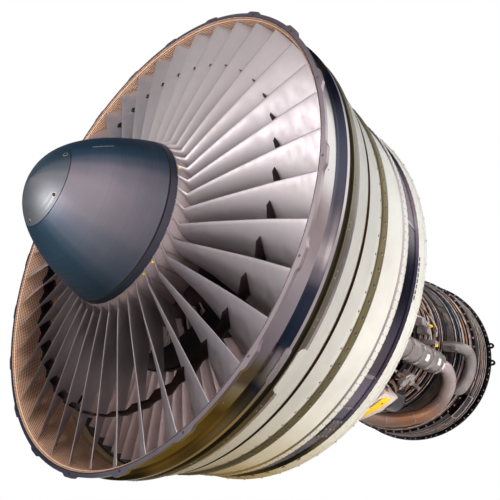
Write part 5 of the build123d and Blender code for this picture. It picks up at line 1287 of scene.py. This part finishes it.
def pad(stations, radii, first, last, corner):
    """A raised pad that follows the ring between two angles, with cut corners."""
    outline = rounded(box_outline(*stations, *radii), 2.0)
    shape = bmesh.new()
    shape.from_mesh(turned_mesh(outline, steps=PAD_STEPS, start=first, arc=last - first))
    centre = (stations[0] + stations[1]) / 2 * MM
    for vert in shape.verts:
        angle = math.degrees(math.atan2(vert.co.z, vert.co.y)) % 360
        edge = min(angle - first, last - angle)
        if edge < corner:
            near = 1 - math.sqrt(max(0.0, 1 - (1 - edge / corner) ** 2))
            vert.co.x = centre + (vert.co.x - centre) * (1 - 0.7 * near)
    return clean(shape, "pad")


ridge_pads = [pad((134, 168), (1226, 1233.6), first, first + 7.4, 0.9) for first in (223.0, 43.0, 313.0)]
group_of("ridge_pads", ridge_pads, PALE, "barrel_alloy")
rail_pads = [pad((206, 262), (1214, 1230.5), first, first + 9.4, 1.1) for first in (222.4, 42.4, 312.4)]
group_of("rail_pads", rail_pads, CREAM, "case_alloy")
strap = rounded(STRAP_OUTLINE, 1)
straps = [turned_mesh(strap, steps=PAD_STEPS, start=a, arc=STRAP_ARC) for a in STRAP_ANGLES]
group_of("band_straps", straps, LUG_METAL, "case_alloy")
panel_screws = []
for x in (790, 827, 864):
    screw = rivet(x, PANEL_R - PANEL_SLOPE * (x - PANEL_START), 4.5)
    panel_screws += [at_angle(screw, a) for a in (236.5, 239.0, 241.5)]
group_of("panel_screws", panel_screws, CLAMP, "panel_alloy")
screws = [rivet(x, STRAP_R - STRAP_SLOPE * (x - STRAP_START), 2.4) for x in (784, 806, 828, 850, 874)]
strap_screws = [at_angle(joined(screws), a + STRAP_ARC / 2) for a in STRAP_ANGLES]
group_of("strap_screws", strap_screws, CLAMP, "case_alloy")

# %% [markdown]
# ## Guide vanes and frame
# Behind the fan a ring of pale guide vanes straightens the air, and rings and struts, near black as painted
# shade inside the duct, hold the core in the middle of the case. Flat plates would pass for vanes from far
# away, but they are lofted from the blades' own section, so that their rounded noses take the light.

# %% Guide vanes
GUIDE_COUNT = 72
GUIDE_MID_X = 455.0
GUIDE_CHORD = 140.0
GUIDE_LEAN = -14.0
GUIDE_THICK = 11.0
GUIDE_CAMBER = -10.0
GUIDE_FEET_R = 697.3
GUIDE_TIP_START, GUIDE_TIP_R, GUIDE_TIP_SLOPE = -75, 1171.0, 0.132
GUIDE_STEPS = 8


def guide_vane_mesh():
    """A thin cambered vane between the two shroud rings."""
    loops = []
    for k in range(GUIDE_STEPS + 1):
        loop = []
        for x, z in section_loop(GUIDE_CHORD, GUIDE_LEAN, GUIDE_THICK, GUIDE_CAMBER, 10):
            tip = GUIDE_TIP_R - GUIDE_TIP_SLOPE * (x - GUIDE_TIP_START)
            radius = GUIDE_FEET_R + (tip - GUIDE_FEET_R) * k / GUIDE_STEPS
            loop.append(((GUIDE_MID_X + x) * MM, radius * MM, z * MM))
        loops.append(loop)
    return lofted(loops)


row("guide_vane_row", guide_vane_mesh(), GUIDE_COUNT, VANE, stands_for=["exit_guide_vanes"])

# %% [markdown]
# ## Core
# The core is bare metal that has been hot: dark steel stained bronze and blue, ringed by thin cooling
# hoops, with a grey clamped duct, heat-tinted pipes and dark accessories under it. The hoops could be plain
# torus shapes. They are swept like the rings, because their radius follows the case's own line.

# %% Cooling hoops
LPT_LINE = [(2250.0, 500.0), (2960.0, 690.0)]
HOOP_THICK = 6.5
HOOP_GAP = 0.3
THIN_SEAT = 0.8
PATCH_ARC = 40
HOOP_FINISHES = {"bright": BRIGHT_TUBE, "copper": COPPER, "blue": BLUE_TUBE}
HOOP_STATIONS = {"bright": (2330, 2430, 2828, 2910), "copper": (2380, 2480, 2869), "blue": (2787,)}
THIN_HOOPS = {
    "copper": [(2355, 4), (2452, 4), (2552, 4), (2850, 3), (2935, 4)],
    "bright": [(2405, 3.5), (2505, 4), (2580, 3), (2745, 4), (2808, 3)],
    "blue": [(2310, 5), (2535, 4), (2620, 3), (2768, 4)],
}
for colour, stations in HOOP_STATIONS.items():
    hoops = [hoop(x, radius_on(LPT_LINE, x) + HOOP_GAP + HOOP_THICK, HOOP_THICK) for x in stations]
    node = ["cooling_tubes"] if colour == "bright" else ()
    group_of(f"cooling_hoops_{colour}", hoops, HOOP_FINISHES[colour], "tube_steel", stands_for=node)
for colour, places in THIN_HOOPS.items():
    thin = [hoop(x, radius_on(LPT_LINE, x) + thick * THIN_SEAT, thick) for x, thick in places]
    group_of(f"thin_hoops_{colour}", thin, HOOP_FINISHES[colour], "tube_steel")
patch = rounded(wall([(x, radius_on(LPT_LINE, x) + 4) for x in (2636, 2722)], 5), 1)
copper_patches = [turned_mesh(patch, start=first, arc=PATCH_ARC) for first in (122, 168, 300, 20)]
group_of("copper_patches", copper_patches, PATCH, "tube_steel")

# %% [markdown]
# ### Rear rings and bolted joints
# Every joint of the core is a pair of flanges with a ring of bolts through it. A bolt could run through
# both flanges as one piece. Only its head and its nut show, so a mirrored copy of the head is the nut.

# %% Rear rings
EXHAUST_LINE = [(2960.0, 690.0), (3010.0, 700.0), (3236.0, 716.0)]
REAR_FLANGE_X = 3222
REAR_FLANGE_BOLT_R = 729.0


def band_at(first, last, tall):
    """A flat band on the exhaust case between two stations."""
    low, high = radius_on(EXHAUST_LINE, first), radius_on(EXHAUST_LINE, last)
    return [(first, low - 1), (first, low + tall), (last, high + tall), (last, high - 1)]


ring("rear_copper_band", band_at(3084, 3102, 3), COPPER, "tube_steel", edge=1)
rear_lines = [hoop(x, radius_on(EXHAUST_LINE, x) + 2, 2.6) for x in (3047, 3123, 3154, 3186)]
group_of("rear_lines", rear_lines, BRIGHT_TUBE, "tube_steel")
ring("grey_rear_band", band_at(3112, 3117, 5), CLAMP, "clamp_steel", edge=1)
flange_bolt = hex_bolt(REAR_FLANGE_X, REAR_FLANGE_BOLT_R, 7.0, outward=False)
rim_bolt = hex_bolt(REAR_FLANGE_X, REAR_FLANGE_BOLT_R, 5.5, outward=False)
row("rear_flange_bolts", flange_bolt, 24, BRACKET)
row("rear_rim_bolts", rim_bolt, 48, BRACKET, first=3.75)
row("rear_rim_lugs", block((3210, REAR_FLANGE_X), (722, 739), 16, 2), 24, REAR_STEEL)

# %% Hoop clips and flange bolts
CLIPS = 12
CLIP_TURN = 17.0
CLIP_TALL = 18.5
FRONT_CLIP_X, REAR_CLIP_X, BETWEEN_CLIPS = 2405, 2849, 2.6
JOINT_FACE = 11.0
JOINT_BOLT = 6.5
FLANGE_JOINTS = [(1570, 372, 30), (1760, 480, 40), (2080, 480, 40), (2250, 500, 40), (2960, 690, 60)]
clip = joined([block((2776, 2922), (646, 664), 9, 2), block((2318, 2492), (527, 546), 8, 2)])
for vert in clip.vertices:
    middle = REAR_CLIP_X if vert.co.x > BETWEEN_CLIPS else FRONT_CLIP_X
    vert.co.y += (radius_on(LPT_LINE, vert.co.x / MM) - radius_on(LPT_LINE, middle)) * MM
row("hoop_clips", clip, CLIPS, DARK_STEEL, first=CLIP_TURN)
clip_bolt_places = (2807, 2849, 2890, 2355, 2405, 2455)
clip_bolts = [hex_bolt(x, radius_on(LPT_LINE, x) + CLIP_TALL, 5) for x in clip_bolt_places]
row("clip_bolts", joined(clip_bolts), CLIPS, BRIGHT_TUBE, first=CLIP_TURN)
for station, case_r, count in FLANGE_JOINTS:
    bolt = hex_bolt(station - JOINT_FACE, case_r + 11, JOINT_BOLT, outward=False)
    nut = bolt.copy()
    nut.transform(Matrix.Scale(-1, 4, (1, 0, 0)))
    nut.transform(Matrix.Translation((2 * station * MM, 0, 0)))
    nut.flip_normals()
    row(f"joint_bolts_{station}", joined([bolt, nut]), count, CLAMP, first=360 / count / 2)

# %% [markdown]
# ### Ducts
# A straight grey duct hangs under the core in four clamps, a heat-tinted duct turns back from its end, and
# a short elbow stands further aft. Cylinders and bends could be joined piece by piece, but one tube along
# a smooth curve has no seams, and the welds then go on as thin rings.

# %% Labels, seams and clamp bolts of the clamped duct
DUCT_ANGLE = 211.0
DUCT_AXIS_R = 655.0
DUCT_R = 82.0
CLAMP_STATIONS = [1850.0, 2000.0, 2165.0, 2330.0]
LABEL_ARC = 34
LABELS = ((2075, 44, 214), (2262, 40, 206), (2352, 26, 216))


def on_duct(mesh, degrees=0.0):
    """Turns a part that stands over the axis so that it stands on the clamped duct instead."""
    copy = at_angle(mesh, degrees)
    a = math.radians(DUCT_ANGLE)
    copy.transform(Matrix.Translation((0, DUCT_AXIS_R * MM * math.cos(a), DUCT_AXIS_R * MM * math.sin(a))))
    return copy


labels = []
for station, width, angle in LABELS:
    outline = box_outline(station, station + width, DUCT_R, DUCT_R + 0.7)
    labels.append(on_duct(turned_mesh(outline, steps=180, arc=LABEL_ARC), angle - LABEL_ARC / 2))
group_of("blank_labels", labels, LABEL, "duct_sleeve")
seams = []
for station in (1935, 2085, 2245):
    outline = box_outline(station, station + 3, DUCT_R - 1, DUCT_R + 1.2)
    seams.append(on_duct(turned_mesh(outline, steps=96)))
group_of("duct_seams", seams, CLAMP, "duct_sleeve")
clamp_parts = []
for station in CLAMP_STATIONS:
    saddle = block((station + 1, station + 15), (DUCT_R + 4, DUCT_R + 15), 11, 1.5)
    bolt = block((station + 4, station + 12), (DUCT_R + 7, DUCT_R + 14), 20, 1.5)
    for angle in (180, 262):
        clamp_parts += [on_duct(saddle, angle), on_duct(bolt, angle)]
group_of("clamp_bolts", clamp_parts, BRIGHT_TUBE, "clamp_steel")

# %% Bent duct and elbow duct
BENT_R = 50.0
BENT_PLACES = [
    (2366, 655, 211), (2440, 662, 211), (2540, 683, 212), (2622, 708, 219), (2655, 722, 231),
    (2622, 722, 243), (2545, 712, 252), (2440, 698, 261), (2330, 674, 267.5), (2240, 658, 270),
    (2140, 655, 270), (2064, 655, 270),
]
ELBOW_R = 42.0
ELBOW_PLACES = [(2600, 604, 196), (2604, 690, 196), (2650, 738, 196.5), (2730, 745, 198), (2786, 745, 203)]
ELBOW_PLACES += [(2800, 745, 211), (2800, 728, 219), (2800, 690, 221.5)]
bent_line = curve_points(BENT_PLACES, 8)
bent = [tube(bent_line, BENT_R, 40)]
group_of("bent_duct_skin", bent, HEAT_BRONZE, "duct_sleeve", stands_for=["bent_duct"])
bent_welds = collars(bent_line, (6, 22, 34, 46, 58, 70, 80), BENT_R + 2.2, 40)
group_of("bent_duct_welds", bent_welds, BRACKET, "clamp_steel")
elbow_line = curve_points(ELBOW_PLACES, 8)
group_of("elbow_duct_skin", [tube(elbow_line, ELBOW_R, 32)], SLEEVE, "duct_sleeve", stands_for=["elbow_duct"])
elbow_rings = collars(elbow_line, (9, 20, 33, 46), ELBOW_R + 3, 32)
group_of("elbow_duct_rings", elbow_rings, BRACKET, "clamp_steel")

# %% [markdown]
# ### Pipes, braids and brackets
# Small pipes, copper braids and the plates that carry them fill the space between the ducts. Random curves
# would cross each other and the case. So every run goes through its own places, and blocks stand for the
# brackets where the photograph has them.

# %% Small pipes and braids
PIPE_RUNS = {
    "silver_pipes": (
        SILVER,
        8.0,
        [
            [(2100, 560, 168), (2190, 590, 172), (2300, 610, 180), (2400, 620, 187), (2450, 600, 192)],
            [(2080, 600, 186), (2150, 640, 188), (2240, 640, 193), (2330, 620, 199)],
            [(1950, 640, 226), (2020, 680, 228), (2110, 680, 224), (2200, 650, 227), (2300, 600, 228)],
            [(2060, 600, 246), (2150, 640, 243), (2230, 620, 236), (2320, 590, 232), (2420, 560, 232)],
        ],
    ),
    "copper_pipes": (
        COPPER,
        6.5,
        [
            [(2080, 575, 172), (2180, 605, 175), (2290, 625, 183), (2390, 632, 190)],
            [(2090, 545, 178), (2200, 580, 182), (2310, 600, 188), (2380, 590, 194)],
            [(2070, 620, 232), (2160, 655, 230), (2260, 640, 236), (2360, 610, 243), (2470, 590, 246)],
            [(2070, 590, 236), (2180, 630, 238), (2300, 600, 247), (2420, 580, 252)],
        ],
    ),
    "braids": (
        BRAID,
        9.0,
        [
            [(1900, 690, 231), (1960, 705, 233), (2040, 700, 236), (2100, 660, 238)],
            [(1900, 700, 236), (1980, 712, 240), (2060, 700, 243), (2120, 660, 246)],
            [(1910, 690, 226), (1990, 700, 226), (2070, 690, 229), (2140, 640, 232)],
        ],
    ),
}
for name, (finish, thick, runs) in PIPE_RUNS.items():
    group_of(name, [tube(curve_points(run, 5), thick, 8) for run in runs], finish, "tube_steel")

# %% Brackets, boxes and tags
# Stations, radii, half-width, bevel, angle
BLOCKS = {
    "line_brackets": [
        ((2080, 2150), (600, 655), 26, 3, 190.5),
        ((2200, 2262), (560, 640), 22, 3, 193.5),
        ((2290, 2350), (560, 668), 16, 3, 199.5),
        ((2090, 2160), (620, 690), 24, 3, 225.5),
        ((2190, 2240), (600, 668), 20, 3, 229.0),
        ((2395, 2425), (540, 640), 12, 3, 231.5),
        ((2300, 2330), (540, 620), 30, 3, 240.0),
        ((1985, 2050), (690, 722), 30, 3, 229.0),
    ],
    "elbow_bracket": [((2520, 2610), (690, 724), 14, 3, 198.0), ((2610, 2790), (712, 722), 22, 2, 196.0)],
    "pale_boxes": [((2062, 2130), (600, 716), 46, 5, 251.0), ((2064, 2110), (610, 700), 40, 5, 262.0)],
    "yellow_tags": [((2195, 2215), (655, 672), 9, 2, 191.0), ((2315, 2335), (655, 672), 9, 2, 201.0)],
}
BLOCK_LOOKS = {
    "line_brackets": (BRACKET, "clamp_steel"),
    "elbow_bracket": (CLAMP, "clamp_steel"),
    "pale_boxes": (CASTING, "gearbox_casting"),
    "yellow_tags": (YELLOW, "handling_yellow"),
}
for name, blocks in BLOCKS.items():
    turned = [at_angle(block(x, r, half, bevel), a) for x, r, half, bevel, a in blocks]
    group_of(name, turned, *BLOCK_LOOKS[name])


# %% Rim of the rear panel
def panel_rim(node, thick):
    """Thin tubes along the four sides of a panel that bends round the axis."""
    places = [node.matrix_world @ v.co for v in node.data.vertices]
    stations = [p.x / MM for p in places]
    turns = [math.degrees(math.atan2(p.z, p.y)) % 360 for p in places]
    top = max(math.hypot(p.y, p.z) for p in places) / MM
    x0, x1, a0, a1 = min(stations), max(stations), min(turns), max(turns)
    sides = [curve_points([(x, top, a0 + (a1 - a0) * k / 4) for k in range(5)], 3) for x in (x0, x1)]
    sides += [curve_points([(x0 + (x1 - x0) * k / 2, top, a) for k in range(3)], 2) for a in (a0, a1)]
    return [tube(side, thick, 6) for side in sides]


group_of("turbine_panel_rim", panel_rim(nodes["turbine_panel"], 4.0), BRIGHT_TUBE, "tube_steel")

# %% [markdown]
# ### Face of the yellow plate
# A yellow plate with two holes, used when the engine is handled, stands beside the ducts. Its solid could
# just be painted. A thin face with rounded corners goes over it, so that its edge and its holes show clearly.

# %% Face of the yellow plate
PLATE_R = 745
plate_face = pad((1893, 1992), (741, PLATE_R), 240.2, 261.8, 2.5)
group_of("yellow_plate_face", [plate_face], YELLOW, "handling_yellow")
# Painted shade: dark discs on the plate's face stand for the shade in its two holes
hole_shade = stud(1940, PLATE_R, [(-1, 11), (0.4, 11), (0.5, 9)], 16)
group_of("plate_hole_shades", [at_angle(hole_shade, a) for a in (244.5, 257.5)], DARK_DOT, "handling_yellow")

# %% [markdown]
# ## Finishes for the frame's own nodes
# The rest of the engine shows as the CAD made it: the inside, the core's cases, the gearbox and its
# accessories. New skins for them would change nothing that the eye sees, so they only get their metals.

# %% Finishes for the frame's own nodes
NODE_FINISHES = [
    (HUB_METAL, "fan_hub booster_drum hpc_drum"),
    (VANE, "booster_blades booster_vanes hpc_blades hpc_vanes"),
    (FRAME_IN_PAINTED_SHADE, "booster_case splitter outer_vane_ring inner_vane_ring fan_frame intermediate_case"),
    (FRAME_IN_PAINTED_SHADE, "front_bearing_cone"),
    (PANEL, "bleed_ring access_panel"),
    (SHAFT_STEEL, "lp_shaft core_shaft front_mount lp_front_bearing lp_rear_bearing"),
    (SHAFT_STEEL, "core_front_bearing core_rear_bearing"),
    (CORE_STEEL, "hpc_case diffuser_case combustor_case combustor_inner_case hpt_case lpt_case"),
    (HOT_STEEL, "combustor_liner turbine_nozzle hpt_discs hpt_blades lpt_drum lpt_blades lpt_vanes"),
    (REAR_STEEL, "exhaust_case rear_cover turbine_panel"),
    (CLAMP, "unison_rings duct_clamps"),
    (CASTING, "gearbox"),
    (DARK_GLOSS, "starter generator"),
    (DARK_STEEL, "fuel_pump hydraulic_pump"),
    (YELLOW, "handling_plate"),
    (SLEEVE, "clamped_duct"),
]
for finish, names in NODE_FINISHES:
    for name in names.split():
        nodes[name].data.materials.clear()
        nodes[name].data.materials.append(finish)
print("finished nodes", sum(len(names.split()) for finish, names in NODE_FINISHES), "of", len(nodes))

# %% [markdown]
# ## Measure and finish
# The box round the solids and the box round what shows are measured and kept side by side, so that the two
# can be compared. A ruler on a picture could compare them too, but numbers don't depend on the view.

# %% Measure and finish
size = {"cad": [list(c) for c in cad_box], "visual": [list(c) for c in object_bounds()]}
